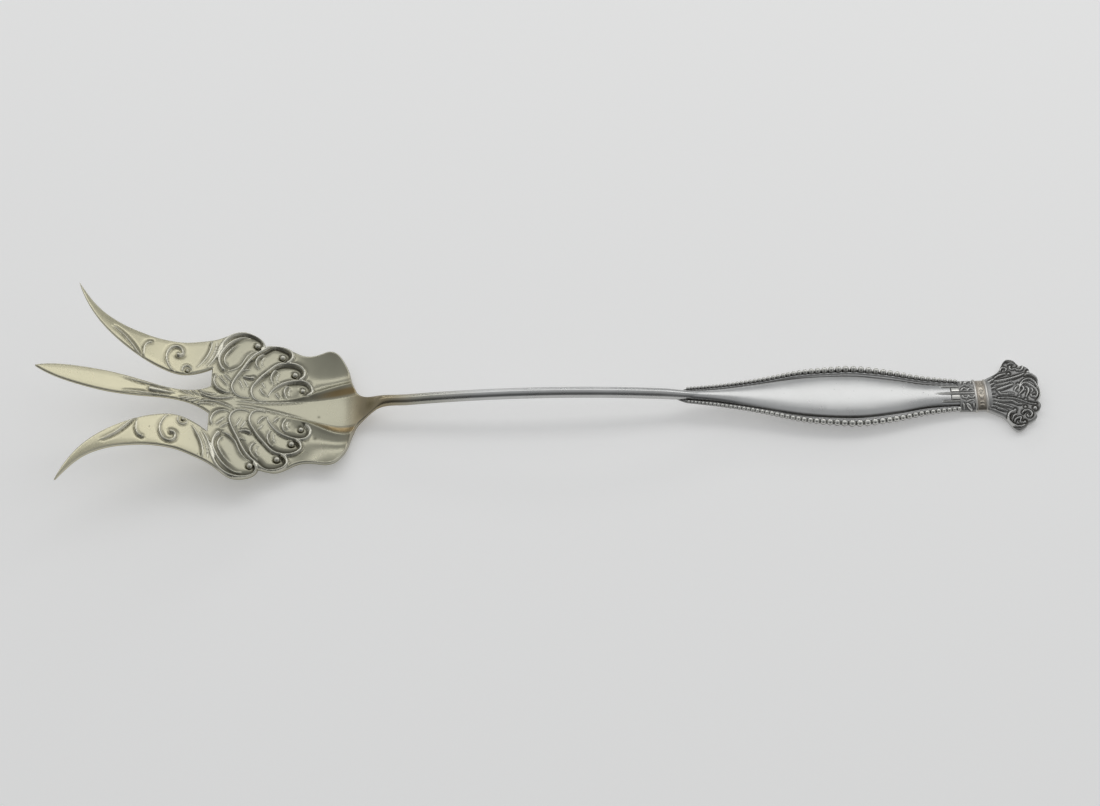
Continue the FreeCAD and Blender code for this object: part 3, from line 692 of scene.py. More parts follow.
def rounded_rim(z, distance, radius):
    """Share of the half-thickness at a point, rounded off towards the outline."""
    path = np.clip(radius - distance, 0.0, radius) + (FLAT_HALF - np.abs(z))
    rounded = np.cos(0.5 * np.pi * path / (radius + FLAT_HALF))
    return np.where(distance < radius, rounded, np.abs(z) / FLAT_HALF) * np.sign(z)


def wrap_stem(x, y, z, sizes):
    """The neck and stem: the flat sheet wrapped round a line, as wide as its outline."""
    width = smooth([(CUSP_X - 6, 7.0), (CUSP_X, 6.3)] + NECK_EDGE, x)
    angle = 0.5 * np.pi * np.clip((np.abs(y) + FLAT_HALF - np.abs(z)) / (width + FLAT_HALF), 0.0, 1.0)
    into = step_up(x, HANDLE_X - 6, HANDLE_X + 9)
    radius = STEM_RADIUS - 0.45 * into
    neck_blend = step_up(x, CUSP_X + 0.5, NECK_X - 2.5)
    centre = (sheet_top(x, 0 * y, sizes) - 0.8) * (1 - neck_blend) + stem_height(x) * neck_blend
    centre = centre * (1 - into) + (ledge_top(x) + PANEL_HEIGHT - 0.06 - radius) * into
    tall = NECK_THICKNESS + (radius - NECK_THICKNESS) * step_up(x, CUSP_X - 1, CUSP_X + 7.5)
    wrapped_y = np.sign(y) * width * np.sin(angle)
    wrapped_y = np.where(x > HANDLE_X - 6, wrapped_y * radius / STEM_RADIUS, wrapped_y)
    return wrapped_y, centre + tall * np.cos(angle) * np.sign(z)


def shape_head(obj, outline, sizes):
    """Bends the flat sheet to the fork's form and carves its upper side."""
    points = read_points(obj)
    distance = true_edge(points, outline)
    x, y, z = points.T.copy()
    along, side = x - ROOT_X, np.abs(y)
    ground, raised = carve(BOWL_LINES + TINE_LINES, along, side)
    for ball in SCROLL_PEARLS:
        raised[seat_ball(along, side, ball, 0.36, ground) < 0.8 * ball[2]] *= 0.2
    ground *= sizes.carving_depth
    crest_height, wall = crest(along, side)
    crest_height *= 1 - step_up(raised, 0.0, 0.3)
    crown = 0.06 * step_up(distance, 0.0, 1.6) * (1 - step_up(along, -4.0, 4.0))
    relief = ground + raised + crest_height + crown
    half_thickness = 0.5 * sheet_thickness(x)
    sheet_z = sheet_top(x, y, sizes) - half_thickness
    sheet_z += half_thickness * rounded_rim(z, distance, BOWL_RIM_ROUND)
    sheet_z += relief * step_up(z / FLAT_HALF, -0.3, 1.0) * step_up(distance, -0.2, 0.35)
    stem_y, stem_z = wrap_stem(x, y, z, sizes)
    rod = step_up(x, CUSP_X + 0.2, CUSP_X + 7.5)
    new_y, new_z = y * (1 - rod) + stem_y * rod, sheet_z * (1 - rod) + stem_z * rod
    write_points(obj, np.column_stack((x, new_y, new_z)))

    upper = step_up(z / FLAT_HALF, 0.0, 1.0) * (1 - rod)
    # Darker in and beside the carved creases: patina and painted shade, with real stains
    creased = np.clip((-ground - 0.01) / 0.55 - raised / 0.3, 0.0, 1.0) ** 1.1
    stained = sum(0.7 * np.exp(-((along - at[0]) ** 2 + (y - at[1]) ** 2) / at[2] ** 2) for at in STAINS)
    store(obj, "patina_and_painted_shade", np.maximum(0.85 * creased, stained) * upper)
    # Lighter on the raised lines: wear and painted highlight; a pale line along the outline: painted
    # highlight
    painted_rim_highlight = 0.8 * np.clip(1 - distance / 0.5, 0.0, 1.0)
    store(obj, "worn", np.maximum(np.clip(raised / 0.35, 0.0, 1.0), painted_rim_highlight) * upper)
    neck_tone = step_up(x, CUSP_X - 3.7, CUSP_X + 1.8) * (1 - step_up(x, CUSP_X + 7.3, CUSP_X + 18.3))
    # Golden-brown on the flute's walls: painted reflection
    painted_wall_reflection = np.clip(wall / 0.35, 0.0, 1.0) * upper * step_up(along, 23.1, 31.1)
    store(obj, "toning_and_painted_reflection", np.maximum(0.5 * neck_tone, 0.85 * painted_wall_reflection))


class FORK_OT_head(bpy.types.Operator):
    """One carved sheet from the tips of the tines to the handle"""
    bl_idname = "fork.head"
    bl_label = "Bowl, tines and stem"
    bl_options = {"REGISTER", "UNDO"}

    def execute(self, context):
        sizes = context.scene.fork_sizes
        outline = head_outline(sizes)
        obj = cut_sheet("bowl_and_stem", outline, sizes.sheet_grain)
        thin_back(obj, CUSP_X - 4.0)
        shape_head(obj, outline, sizes)
        return finish_piece(obj, "gilt bowl", context)


def add_ball(name, place, radius, segments=20, rings=12, squash=1.0):
    bpy.ops.object.select_all(action="DESELECT")
    bpy.ops.mesh.primitive_uv_sphere_add(segments=segments, ring_count=rings, radius=radius, location=place)
    ball = bpy.context.object
    ball.name = name
    ball.scale = (1.0, 1.0, squash)
    bpy.ops.object.transform_apply(location=True, rotation=True, scale=True)
    return ball


def join(objects, name):
    select_only(objects[0])
    for obj in objects:
        obj.select_set(True)
    bpy.ops.object.join()
    joined = bpy.context.object
    joined.name = name
    joined.data.name = name
    return joined


class FORK_OT_pearls(bpy.types.Operator):
    """Balls that end the carved scrolls, each seated in the surface"""
    bl_idname = "fork.pearls"
    bl_label = "Pearls of the scrolls"
    bl_options = {"REGISTER", "UNDO"}

    def execute(self, context):
        sizes = context.scene.fork_sizes
        balls = []
        for along, y, radius in SCROLL_PEARLS:
            for side in (y, -y):
                x = ROOT_X + along
                z = float(sheet_top(np.array(x), np.array(side), sizes)) + 0.05
                balls.append(add_ball("pearl", (x, side, z), radius, squash=0.75))
        obj = join(balls, "scroll_pearls")
        # No darkening on the pearls, and lighter metal all over them: painted highlight
        store(obj, "patina_and_painted_shade", np.zeros(len(obj.data.vertices)))
        store(obj, "worn", np.ones(len(obj.data.vertices)))
        return finish_piece(obj, "gilt pearls", context)


def loft(name, sections):
    """A closed body through rings of points, capped at both ends."""
    rings, count = len(sections), len(sections[0])
    faces = []
    for r in range(rings - 1):
        for k in range(count):
            a, b = r * count + k, r * count + (k + 1) % count
            faces.append((a, b, b + count, a + count))
    faces.append(tuple(range(count))[::-1])
    faces.append(tuple((rings - 1) * count + k for k in range(count)))
    obj = add_mesh(name, np.concatenate(sections), faces)
    select_only(obj)
    bpy.ops.object.mode_set(mode="EDIT")
    bpy.ops.mesh.select_all(action="SELECT")
    bpy.ops.mesh.normals_make_consistent(inside=False)
    bpy.ops.object.mode_set(mode="OBJECT")
    return obj


def handle_half_section(x, sizes):
    """The handle's section from the middle of the panel to the middle of the back: y, z and darkening by
    patina and painted shade.
    """
    edge = float(handle_edge(x, sizes))
    panel = float(panel_edge(x, sizes))
    pitch = float(bead_pitch(x, sizes))
    back, top = float(handle_back(x)), float(ledge_top(x))
    wide = edge - 0.35 * pitch
    rail = max(edge - 1.02 * pitch, panel + 0.35)
    gap = max(rail - panel, 0.2)
    rail_up = RAIL_HEIGHT * float(step_up(x, HANDLE_X + 18, HANDLE_X + 28)
                                  * (1 - step_up(x, COLLAR_X - 8, COLLAR_X - 2)))
    ledge_tone = 0.35 + 0.5 * (1 - float(step_up(x, HANDLE_X + 26, HANDLE_X + 38)))
    points = []
    for t in np.linspace(0.0, 1.0, 27):
        fall = PANEL_CROWN * t ** 2.4 + PANEL_ROLL * max((t - 0.72) / 0.28, 0.0) ** 2
        points.append((panel * t, top + PANEL_HEIGHT - fall, 0.0))
    # Half-width, height over the ledge and darkening by patina and painted shade: panel's wall, groove,
    # ledge, rail and seat of the beads
    points += [(y, top + z, patina_and_painted_shade) for y, z, patina_and_painted_shade in (
        (panel + 0.07, PANEL_HEIGHT - PANEL_CROWN - PANEL_ROLL - 0.1, 0.15),
        (panel + 0.11, 0.2, 0.8),
        (panel + 0.18, -0.2, 1.0),
        (panel + 0.34 * gap, -0.22, 0.8),
        (panel + 0.44 * gap, -0.06, ledge_tone),
        (panel + 0.62 * gap, -0.02, ledge_tone),
        (panel + 0.76 * gap, -0.06, ledge_tone + 0.1),
        (panel + 0.86 * gap, -0.1, 0.7),
        (panel + 0.93 * gap, rail_up, 0.1),
        (rail + 0.12 * pitch, rail_up, 0.1),
        (rail + 0.22 * pitch, -0.06, 0.8),
        (rail + 0.45 * pitch, -0.16, 0.9),
        (wide - 0.12, -0.06, 0.6),
        (wide, -0.18, 0.4),
        (wide + 0.03, -0.36, 0.3))]
    depth = top - 0.35 - back
    for angle in 0.5 * np.pi * np.linspace(0.06, 1.0, 14):
        points.append((wide * math.cos(angle), back + depth * (1 - math.sin(angle)), 0.0))
    points = np.array(points)
    points[:, 0] = np.minimum(points[:, 0], wide + 0.03)
    # The section grows out of the stem
    grown = 0.35 + 0.65 * float(step_up(x, HANDLE_X - 3.0, HANDLE_X + 1.0))
    middle = 0.5 * (top + back)
    points[:, 0] *= grown
    points[:, 1] = middle + (points[:, 1] - middle) * grown
    return points


def plateau(x, y, low, high, edge=0.08):
    """1 inside a rectangle, falling to 0 just outside it."""
    gap = np.maximum(np.maximum(low[0] - x, x - high[0]), np.maximum(low[1] - y, y - high[1]))
    return 1 - step_up(gap, 0.0, edge)


def panel_relief(along, side):
    """Creases and raised parts at the collar's end of the panel: a spine, two bars and two blocks."""
    ground, raised = carve(PANEL_LINES, along, side)
    around = plateau(along, side, (BLOCK_LOW[0] - 0.16, BLOCK_LOW[1] - 0.12),
                     (BLOCK_HIGH[0] + 0.2, BLOCK_HIGH[1] + 0.12))
    block = plateau(along, side, BLOCK_LOW, BLOCK_HIGH)
    return np.minimum(ground, -0.22 * around * (1 - block)), np.maximum(raised, 0.14 * block)


class FORK_OT_handle(bpy.types.Operator):
    """Rounded back, sunk groove and crowned panel"""
    bl_idname = "fork.handle"
    bl_label = "Handle"
    bl_options = {"REGISTER", "UNDO"}

    def execute(self, context):
        sections = []
        patina_and_painted_shade = []
        plain = np.arange(HANDLE_X - 3.0, COLLAR_X - 7.0, 0.35)
        carved = np.arange(COLLAR_X - 7.0, COLLAR_X + 0.4, 0.11)
        for x in np.concatenate((plain, carved)):
            half = handle_half_section(x, context.scene.fork_sizes)
            ring = np.concatenate((half, half[-2:0:-1] * (-1, 1, 1)))
            sections.append(np.column_stack((np.full(len(ring), x), ring[:, :2])))
            patina_and_painted_shade.append(ring[:, 2])
        obj = loft("handle", sections)
        points = read_points(obj)
        x, y, z = points.T
        on_panel = step_up(z, ledge_top(x) + 0.2, ledge_top(x) + 0.4)
        ground, raised = panel_relief(x - COLLAR_X, np.abs(y))
        points[:, 2] += (ground + raised) * on_panel
        write_points(obj, points)
        # Darker in the creases round the spine, bars and blocks: patina and painted shade; lighter on the
        # raised parts: wear and painted highlight
        creased = np.clip(-ground / 0.16 - raised / 0.12, 0.0, 1.0) * on_panel
        store(obj, "patina_and_painted_shade", np.maximum(np.concatenate(patina_and_painted_shade), creased))
        store(obj, "worn", np.clip(raised / 0.14, 0.0, 1.0) * on_panel)
        return finish_piece(obj, "handle", context)


class FORK_OT_beads(bpy.types.Operator):
    """Two strings of beads that grow to the widest part of the handle"""
    bl_idname = "fork.beads"
    bl_label = "Beads"
    bl_options = {"REGISTER", "UNDO"}

    def execute(self, context):
        sizes = context.scene.fork_sizes
        worn = random.Random(7)
        balls = []
        x = HANDLE_X + FIRST_BEAD
        while x < COLLAR_X - LAST_BEAD:
            pitch = float(bead_pitch(x, sizes))
            radius = BEAD_SHARE * pitch
            y = float(handle_edge(x, sizes)) - radius
            slope = float(handle_edge(x + 0.5, sizes) - handle_edge(x - 0.5, sizes))
            for side in (y, -y):
                place = (x + worn.uniform(-0.02, 0.02), side, float(ledge_top(x)) + 0.34 * radius)
                balls.append(add_ball("bead", place, radius * worn.uniform(0.97, 1.02), 16, 10))
            x += pitch / math.sqrt(1 + slope * slope)
        obj = join(balls, "edge_beads")
        points = read_points(obj)
        height = points[:, 2] - ledge_top(points[:, 0])
        # Darker towards the base of each bead: painted shade; lighter towards the top: painted highlight
        store(obj, "patina_and_painted_shade", np.clip(1.1 - height / 0.4, 0.0, 1.0))
        store(obj, "worn", np.clip(height / 0.7, 0.0, 1.0))
        return finish_piece(obj, "beads", context)


def collar_ring(x, proud, count=180):
    """Ring of the collar: flat below, crowned above. Also says how far up each point is."""
    a = 2 * np.pi * np.arange(count) / count
    lift = np.sin(a)
    half_width, thickness = COLLAR_HALF_WIDTH + proud, COLLAR_THICKNESS + proud
    y = half_width * np.sign(np.cos(a)) * np.abs(np.cos(a)) ** 0.85
    z = np.where(lift > 0, thickness * (COLLAR_SEAM + (1 - COLLAR_SEAM) * np.abs(lift) ** 0.95),
                 thickness * COLLAR_SEAM * (1 - np.abs(lift) ** 0.75))
    return np.column_stack((np.full(count, x), y, np.maximum(z, 0.0))), lift


def band_height(x):
    """How far the two bands stand out at x."""
    height = 0.0
    for place in BAND_PLACES:
        t = (x - COLLAR_X - place) / BAND_HALF_WIDTH
        if abs(t) < 1:
            height = BAND_HEIGHT * (1 - t * t) ** 0.35
    return height


def collar_relief(along, y):
    """Spine and leaves before the bands, and a boss and small leaves between them."""
    side = np.abs(y)
    ground, raised = carve(COLLAR_LINES, along, side)
    from_boss = along - BOSS_PLACE
    oval = np.hypot(from_boss / 0.8, y / 2.0)
    raised = np.maximum(raised, 0.16 * (1 - step_up(oval, 0.85, 1.0)))
    ring = np.hypot(from_boss, y)
    ground = np.minimum(ground, -0.2 * np.exp(-((ring - 0.5) / 0.13) ** 2))
    raised = np.maximum(raised, 0.28 * np.exp(-(ring / 0.24) ** 2))
    for at in (2.7, 3.5):
        leaf = np.hypot(from_boss / 0.6, (side - at) / 0.28)
        raised = np.maximum(raised, 0.15 * (1 - step_up(leaf, 0.6, 1.0)))
    return ground, raised


class FORK_OT_collar(bpy.types.Operator):
    """A crowned socket with leaves, two bands and a boss between them"""
    bl_idname = "fork.collar"
    bl_label = "Collar"
    bl_options = {"REGISTER", "UNDO"}

    def execute(self, context):
        stations = np.arange(COLLAR_X - 0.4, PALMETTE_X + 0.8, 0.09)
        bands = np.array([band_height(x) for x in stations])
        rings = [collar_ring(x, band) for x, band in zip(stations, bands)]
        obj = loft("collar", [ring for ring, lift in rings])
        lift = np.concatenate([lift for ring, lift in rings])
        banded = np.clip(np.repeat(bands, len(rings[0][1])) / (0.5 * BAND_HEIGHT), 0.0, 1.0)
        points = read_points(obj)
        along = points[:, 0] - COLLAR_X
        ground, raised = collar_relief(along, points[:, 1])
        upper = step_up(lift, 0.1, 0.45) * (1 - banded)
        points[:, 2] += (ground + raised) * upper
        write_points(obj, points)
        plain = step_up(lift, -0.2, 0.1) * (1 - banded)
        near_boss = 1 - step_up(np.abs(along - BOSS_PLACE), 0.9, 1.3)
        # Darker over the crowned top and in the creases: patina and painted shade; lighter on the leaves,
        # boss and bands: wear and painted highlight
        patina_and_painted_shade = np.clip(0.6 - 0.35 * near_boss - ground / 0.3 - raised / 0.12, 0.0, 1.0)
        store(obj, "patina_and_painted_shade", patina_and_painted_shade * plain)
        store(obj, "worn", np.maximum(0.1 * banded, 0.6 * np.clip(raised / 0.2, 0.0, 1.0) * upper))
        store(obj, "toning_and_painted_reflection", 0.5 * near_boss * step_up(lift, 0.0, 0.4) + 0.2 * banded)
        return finish_piece(obj, "collar", context)


def palm(points, sizes):
    """Plan points from shares of the palmette's length and of its half-width."""
    return [(PALMETTE_X + u * PALMETTE_LENGTH, v * sizes.palmette_half_width) for u, v in points]


def palmette_outline(sizes):
    side = palm([(-0.03, 0.42), (0.12, 0.52), (0.26, 0.64), (0.36, 0.85), (0.47, 0.99), (0.6, 0.92),
                 (0.68, 0.8)], sizes)
    upper = [side, [side[-1]] + palm([(0.76, 0.79), (0.84, 0.72), (0.86, 0.6)], sizes),
             palm([(0.86, 0.6), (0.95, 0.52), (0.99, 0.38), (0.975, 0.24)], sizes),
             palm([(0.975, 0.24), (0.994, 0.12), (0.99, -0.06), (0.9, -0.2)], sizes)]
    lower_side = [(x, -y) for x, y in side]
    lower = [palm([(0.9, -0.2), (0.96, -0.36), (0.9, -0.47), (0.8, -0.52)], sizes),
             palm([(0.8, -0.52), (0.86, -0.62), (0.78, -0.74)], sizes) + [lower_side[-1]],
             lower_side[::-1]]
    return np.concatenate([curve_through(piece, 0.15)[:-1] for piece in upper + lower]
                          + [[lower_side[0]]])


class FORK_OT_palmette(bpy.types.Operator):
    """A lobed fan with ribs, scrolls and small balls"""
    bl_idname = "fork.palmette"
    bl_label = "Palmette"
    bl_options = {"REGISTER", "UNDO"}

    def execute(self, context):
        sizes = context.scene.fork_sizes
        outline = palmette_outline(sizes)
        obj = cut_sheet("palmette", outline, sizes.palmette_grain)
        points = read_points(obj)
        distance = true_edge(points, outline)
        x, y, z = points.T.copy()
        along = x - PALMETTE_X
        ground, raised = carve(PALMETTE_LINES + nick_lines(), along, y)
        for ball in PALMETTE_BALLS:
            gap = seat_ball(along, y, ball, 0.4, ground)
            dome = 0.1 + np.sqrt(np.clip(ball[2] ** 2 - gap ** 2, 0.0, None))
            raised = np.where(gap < ball[2], np.maximum(raised, dome), raised)
        ground = np.maximum(ground, -DEEPEST_CREASE) * sizes.carving_depth
        top = PALMETTE_EDGE_TOP + PALMETTE_CROWN * (1 - 0.75 * (y / sizes.palmette_half_width) ** 2)
        share = 0.5 + 0.5 * rounded_rim(z, distance, PALMETTE_RIM_ROUND)
        new_z = PALMETTE_BOTTOM + (top - PALMETTE_BOTTOM) * share
        new_z += (ground + raised) * step_up(z / FLAT_HALF, -0.2, 1.0) * step_up(distance, -0.1, 0.3)
        write_points(obj, np.column_stack((x, y, new_z)))
        upper = step_up(z / FLAT_HALF, 0.0, 1.0)
        # Dark ground between the raised lines: patina and painted shade; lighter raised lines: wear and
        # painted highlight
        store(obj, "patina_and_painted_shade", np.clip(0.6 - ground / 0.3 - raised / 0.16, 0.0, 1.0) * upper)
        store(obj, "worn", 0.5 * np.clip(raised / 0.22, 0.0, 1.0) * upper)
        return finish_piece(obj, "palmette", context)


def add_node(tree, kind, place, **values):
    node = tree.nodes.new(kind)
    node.location = place
    for name, value in values.items():
        setattr(node, name, value)
    return node


def ramp(tree, source, low, high, low_value=0.0, high_value=1.0, place=(0, 0)):
    """A clamped change of range."""
    node = add_node(tree, "ShaderNodeMapRange", place)
    node.clamp = True
    node.inputs["From Min"].default_value = low
    node.inputs["From Max"].default_value = high
    node.inputs["To Min"].default_value = low_value
    node.inputs["To Max"].default_value = high_value
    tree.links.new(source, node.inputs["Value"])
    return node.outputs["Result"]


def connect(tree, value, socket):
    """Puts a socket's value, a number or a colour into a socket."""
    if isinstance(value, bpy.types.NodeSocket):
        tree.links.new(value, socket)
    elif isinstance(value, (int, float)):
        socket.default_value = value
    else:
        socket.default_value = (*value, 1.0)


def blend_colour(tree, factor, first, second, place, mode="MIX"):
    node = add_node(tree, "ShaderNodeMix", place, data_type="RGBA", blend_type=mode)
    for socket, value in ((node.inputs[0], factor), (node.inputs[6], first), (node.inputs[7], second)):
        connect(tree, value, socket)
    return node.outputs[2]


def arithmetic(tree, operation, first, second, place):
    node = add_node(tree, "ShaderNodeMath", place, operation=operation, use_clamp=True)
    connect(tree, first, node.inputs[0])
    connect(tree, second, node.inputs[1])
    return node.outputs[0]


def noise(tree, where, scale, detail, place, stretch=None, turn=0.0):
    source = where
    if stretch:
        mapping = add_node(tree, "ShaderNodeMapping", (place[0] - 200, place[1]))
        mapping.inputs["Scale"].default_value = stretch
        mapping.inputs["Rotation"].default_value = (0.0, 0.0, turn)
        tree.links.new(where, mapping.inputs["Vector"])
        source = mapping.outputs["Vector"]
    node = add_node(tree, "ShaderNodeTexNoise", place)
    node.inputs["Scale"].default_value = scale
    node.inputs["Detail"].default_value = detail
    tree.links.new(source, node.inputs["Vector"])
    return node.outputs["Fac"]


def attribute(tree, name, place):
    return add_node(tree, "ShaderNodeAttribute", place, attribute_name=name).outputs["Fac"]


def old_silver(name, colours):
    """Old silver: gilt towards the tines, dark with patina and painted shade in the recesses, finely
    scratched.
    """
    material = bpy.data.materials.new(name)
    material.use_nodes = True
    tree = material.node_tree
    shader = tree.nodes["Principled BSDF"]
    shader.inputs["Metallic"].default_value = 1.0
    where = add_node(tree, "ShaderNodeTexCoord", (-1800, 0)).outputs["Object"]
    split = add_node(tree, "ShaderNodeSeparateXYZ", (-1600, 200))
    tree.links.new(where, split.inputs[0])
    # Darkening in creases, grooves and hollows: patina and painted shade
    patina_and_painted_shade = attribute(tree, "patina_and_painted_shade", (-1600, -300))
    # Toning at the neck and collar, with a painted reflection on the flute's walls
    toning_and_reflection_share = attribute(tree, "toning_and_painted_reflection", (-1600, -500))
    # Real wear on raised parts, with painted highlights on bead tops, pearls, rims and raised lines
    worn = attribute(tree, "worn", (-1600, -600))
    cloud = noise(tree, where, 90.0, 4.0, (-1400, 0))
    speckle = noise(tree, where, 1400.0, 3.0, (-1400, -200))
    fine = noise(tree, where, 1.0, 2.0, (-1200, -700), (250.0, 7000.0, 900.0), 0.06)
    cross = noise(tree, where, 1.0, 2.0, (-1200, -900), (5200.0, 300.0, 900.0), 0.5)

    # The metal: silver, gilt from the neck to the tips and duller in the bowl, toned at the neck and collar
    # with a painted reflection on the flute's walls, rubbed on raised parts with painted highlights on
    # beads, pearls and edges, and cloudy
    gilding = ramp(tree, split.outputs["X"], -0.042, -0.016, 1.0, 0.0, (-1400, 300))
    in_bowl = ramp(tree, split.outputs["X"], -0.094, -0.080, 0.0, 1.0, (-1400, 500))
    gilt = blend_colour(tree, in_bowl, colours.gilt, colours.film, (-1200, 500))
    metal = blend_colour(tree, gilding, colours.silver, gilt, (-1000, 300))
    metal = blend_colour(tree, toning_and_reflection_share, metal, colours.toning_and_painted_reflection, (-850, 300))
    rubbed_and_highlit = arithmetic(tree, "MULTIPLY", worn, 0.45, (-850, 500))
    metal = blend_colour(tree, rubbed_and_highlit, metal, RUBBED_AND_HIGHLIGHT_METAL, (-780, 300))
    dull = ramp(tree, cloud, 0.35, 0.7, 1.0, 0.86, (-1200, 0))
    dull_colour = add_node(tree, "ShaderNodeCombineColor", (-1000, 50))
    for socket in dull_colour.inputs[:3]:
        tree.links.new(dull, socket)
    metal = blend_colour(tree, 1.0, metal, dull_colour.outputs[0], (-700, 300), "MULTIPLY")

    # The patina and painted shade in recesses, and the pits
    pits = ramp(tree, speckle, 0.24, 0.30, 0.45, 0.0, (-1200, -200))
    patchy = ramp(tree, cloud, 0.2, 0.6, 0.7, 1.0, (-1200, -350))
    dark = arithmetic(tree, "MULTIPLY", patina_and_painted_shade, patchy, (-1000, -300))
    dark = arithmetic(tree, "MAXIMUM", dark, pits, (-850, -300))
    dark = arithmetic(tree, "MULTIPLY", dark, 0.92, (-700, -300))
    colour = blend_colour(tree, dark, metal, colours.patina_and_shade_colour, (-500, 300))
    tree.links.new(colour, shader.inputs["Base Color"])

    # Smoother where it is rubbed and where highlights are painted, rougher where it is dark
    rough = ramp(tree, cloud, 0.3, 0.7, 0.31, 0.25, (-1000, -700))
    polish = arithmetic(tree, "MULTIPLY", worn, 0.07, (-900, -600))
    rough = arithmetic(tree, "SUBTRACT", rough, polish, (-700, -650))
    crust = arithmetic(tree, "MULTIPLY", dark, 0.25, (-700, -500))
    rough = arithmetic(tree, "ADD", rough, crust, (-500, -500))
    tree.links.new(rough, shader.inputs["Roughness"])

    scratches = arithmetic(tree, "ADD", arithmetic(tree, "MULTIPLY", fine, 0.5, (-800, -800)),
                           arithmetic(tree, "MULTIPLY", cross, 0.3, (-800, -950)), (-600, -850))
    bump = add_node(tree, "ShaderNodeBump", (-300, -700))
    bump.inputs["Strength"].default_value = 0.06
    bump.inputs["Distance"].default_value = 0.00005
    tree.links.new(scratches, bump.inputs["Height"])
    tree.links.new(bump.outputs["Normal"], shader.inputs["Normal"])
    return material


def pale_floor(colour):
    """A matt floor that the camera and the metal see a little paler than it is lit."""
    material = bpy.data.materials.new("pale floor")
    material.use_nodes = True
    tree = material.node_tree
    shader = tree.nodes["Principled BSDF"]
    shader.inputs["Base Color"].default_value = (*colour, 1.0)
    shader.inputs["Roughness"].default_value = 0.85
    shader.inputs["Emission Color"].default_value = (*colour, 1.0)
    rays = add_node(tree, "ShaderNodeLightPath", (-700, -200)).outputs
    seen = arithmetic(tree, "MAXIMUM", rays["Is Camera Ray"], rays["Is Glossy Ray"], (-500, -200))
    glow = arithmetic(tree, "MULTIPLY", seen, FLOOR_GLOW, (-300, -200))
    tree.links.new(glow, shader.inputs["Emission Strength"])
    return material


def softbox(name, place, width, height, watts):
    """A plain rectangular lamp that faces the middle of the fork."""
    light = bpy.data.lights.new(name, "AREA")
    light.shape = "RECTANGLE"
    light.size = width
    light.size_y = height
    light.energy = watts
    obj = bpy.data.objects.new(name, light)
    obj.location = place
    obj.rotation_euler = (-obj.location).to_track_quat("-Z", "Y").to_euler()
    bpy.context.scene.collection.objects.link(obj)


def add_camera():
    """The photograph's view, worked out from mirrored features of the bowl and palmette."""
    camera = bpy.data.cameras.new("camera")
    camera.sensor_width = 36.0
    camera.lens = camera.sensor_width * FOCAL_PIXELS / IMAGE_WIDTH
    camera.clip_start = 0.01
    obj = bpy.data.objects.new("camera", camera)
    bpy.context.scene.collection.objects.link(obj)
    back = Vector((0.0, -math.sin(CAMERA_TILT), math.cos(CAMERA_TILT)))
    level_up = Vector((0.0, math.cos(CAMERA_TILT), math.sin(CAMERA_TILT)))
    along = Vector((1.0, 0.0, 0.0))
    right = math.cos(CAMERA_ROLL) * along + math.sin(CAMERA_ROLL) * level_up
    up = -math.sin(CAMERA_ROLL) * along + math.cos(CAMERA_ROLL) * level_up
    place = CAMERA_TARGET + CAMERA_DISTANCE * back
    obj.matrix_world = Matrix(((right.x, up.x, back.x, place.x), (right.y, up.y, back.y, place.y),
                               (right.z, up.z, back.z, place.z), (0.0, 0.0, 0.0, 1.0)))
    bpy.context.scene.camera = obj


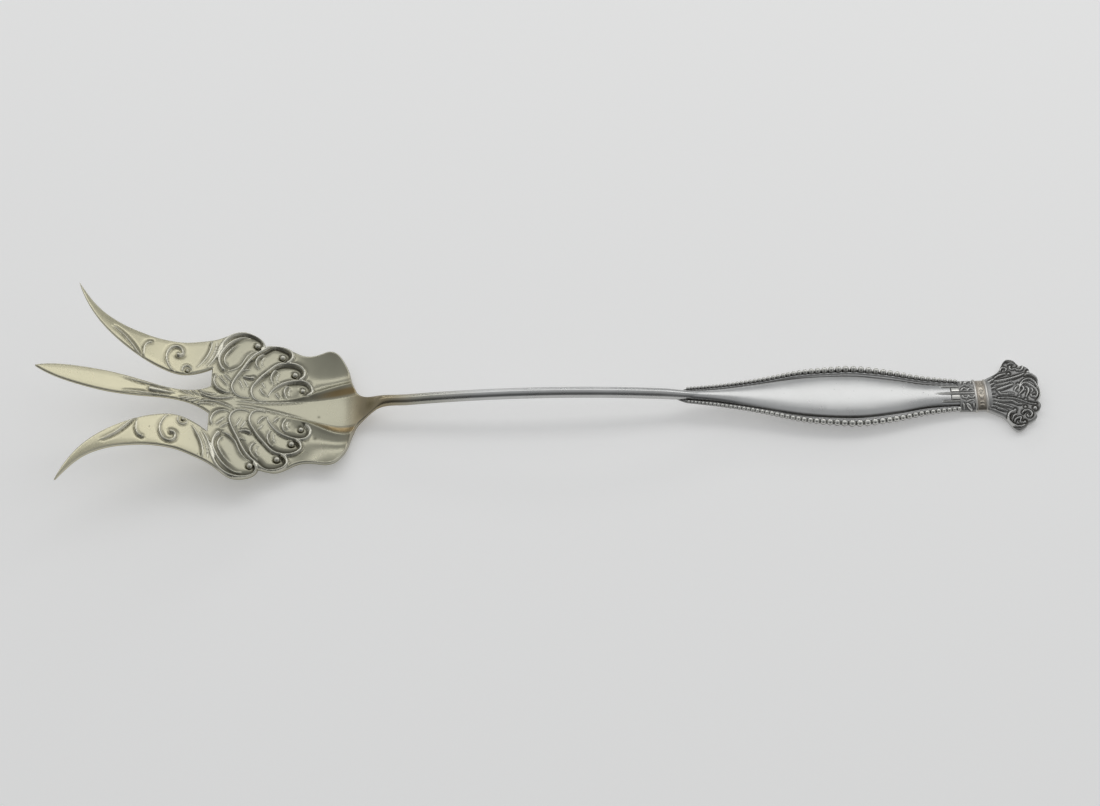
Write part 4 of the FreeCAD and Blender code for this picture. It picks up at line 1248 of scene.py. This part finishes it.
def add_world():
    """A plain room, darker low down on the photographer's side."""
    world = bpy.data.worlds.new("pale room")
    bpy.context.scene.world = world
    world.use_nodes = True
    tree = world.node_tree
    background = tree.nodes["Background"]
    background.inputs["Color"].default_value = ROOM_TINT
    where = add_node(tree, "ShaderNodeTexCoord", (-900, 0))
    facing = add_node(tree, "ShaderNodeVectorMath", (-700, 0), operation="DOT_PRODUCT")
    facing.inputs[1].default_value = DARK_DIRECTION
    tree.links.new(where.outputs["Generated"], facing.inputs[0])
    room = ramp(tree, facing.outputs["Value"], 0.6, 1.0, ROOM_LIGHT, ROOM_LIGHT * DARK_SIDE, (-500, 0))
    seen = add_node(tree, "ShaderNodeLightPath", (-700, 300)).outputs["Is Camera Ray"]
    strength = add_node(tree, "ShaderNodeMix", (-200, 100), data_type="FLOAT")
    tree.links.new(seen, strength.inputs[0])
    tree.links.new(room, strength.inputs[2])
    strength.inputs[3].default_value = 1.0
    tree.links.new(strength.outputs[0], background.inputs["Strength"])


class FORK_OT_stage(bpy.types.Operator):
    """A pale floor under soft studio light, seen from the photograph's side"""
    bl_idname = "fork.stage"
    bl_label = "Floor, lights and camera"
    bl_options = {"REGISTER", "UNDO"}

    def execute(self, context):
        bpy.ops.object.select_all(action="DESELECT")
        bpy.ops.mesh.primitive_plane_add(size=FLOOR_SIZE, location=(0.0, 0.0, 0.0))
        floor = bpy.context.object
        floor.name = "floor"
        floor.data.materials.append(pale_floor(context.scene.fork_colours.floor))
        for box in SOFTBOXES:
            softbox(*box)
        add_world()
        add_camera()
        context.scene.view_settings.view_transform = "Standard"
        return {"FINISHED"}


class FORK_PT_panel(bpy.types.Panel):
    bl_label = "Salad serving fork"
    bl_idname = "FORK_PT_panel"
    bl_space_type = "VIEW_3D"
    bl_region_type = "UI"
    bl_category = "Fork"

    def draw(self, context):
        layout = self.layout
        for group in (context.scene.fork_sizes, context.scene.fork_colours):
            box = layout.box()
            for name in group.bl_rna.properties.keys():
                if name not in ("rna_type", "name"):
                    box.prop(group, name)
        for operator in OPERATORS:
            layout.operator(operator.bl_idname)


OPERATORS = (FORK_OT_head, FORK_OT_pearls, FORK_OT_handle, FORK_OT_beads, FORK_OT_collar, FORK_OT_palmette,
             FORK_OT_stage)
CLASSES = (ForkSizes, ForkColours) + OPERATORS + (FORK_PT_panel,)


def register():
    for cls in CLASSES:
        bpy.utils.register_class(cls)
    bpy.types.Scene.fork_sizes = bpy.props.PointerProperty(type=ForkSizes)
    bpy.types.Scene.fork_colours = bpy.props.PointerProperty(type=ForkColours)


def unregister():
    del bpy.types.Scene.fork_colours
    del bpy.types.Scene.fork_sizes
    for cls in reversed(CLASSES):
        bpy.utils.unregister_class(cls)


def main():
    register()
    for operator in OPERATORS:
        group, name = operator.bl_idname.split(".")
        getattr(getattr(bpy.ops, group), name)()


if __name__ == "__main__":
    main()
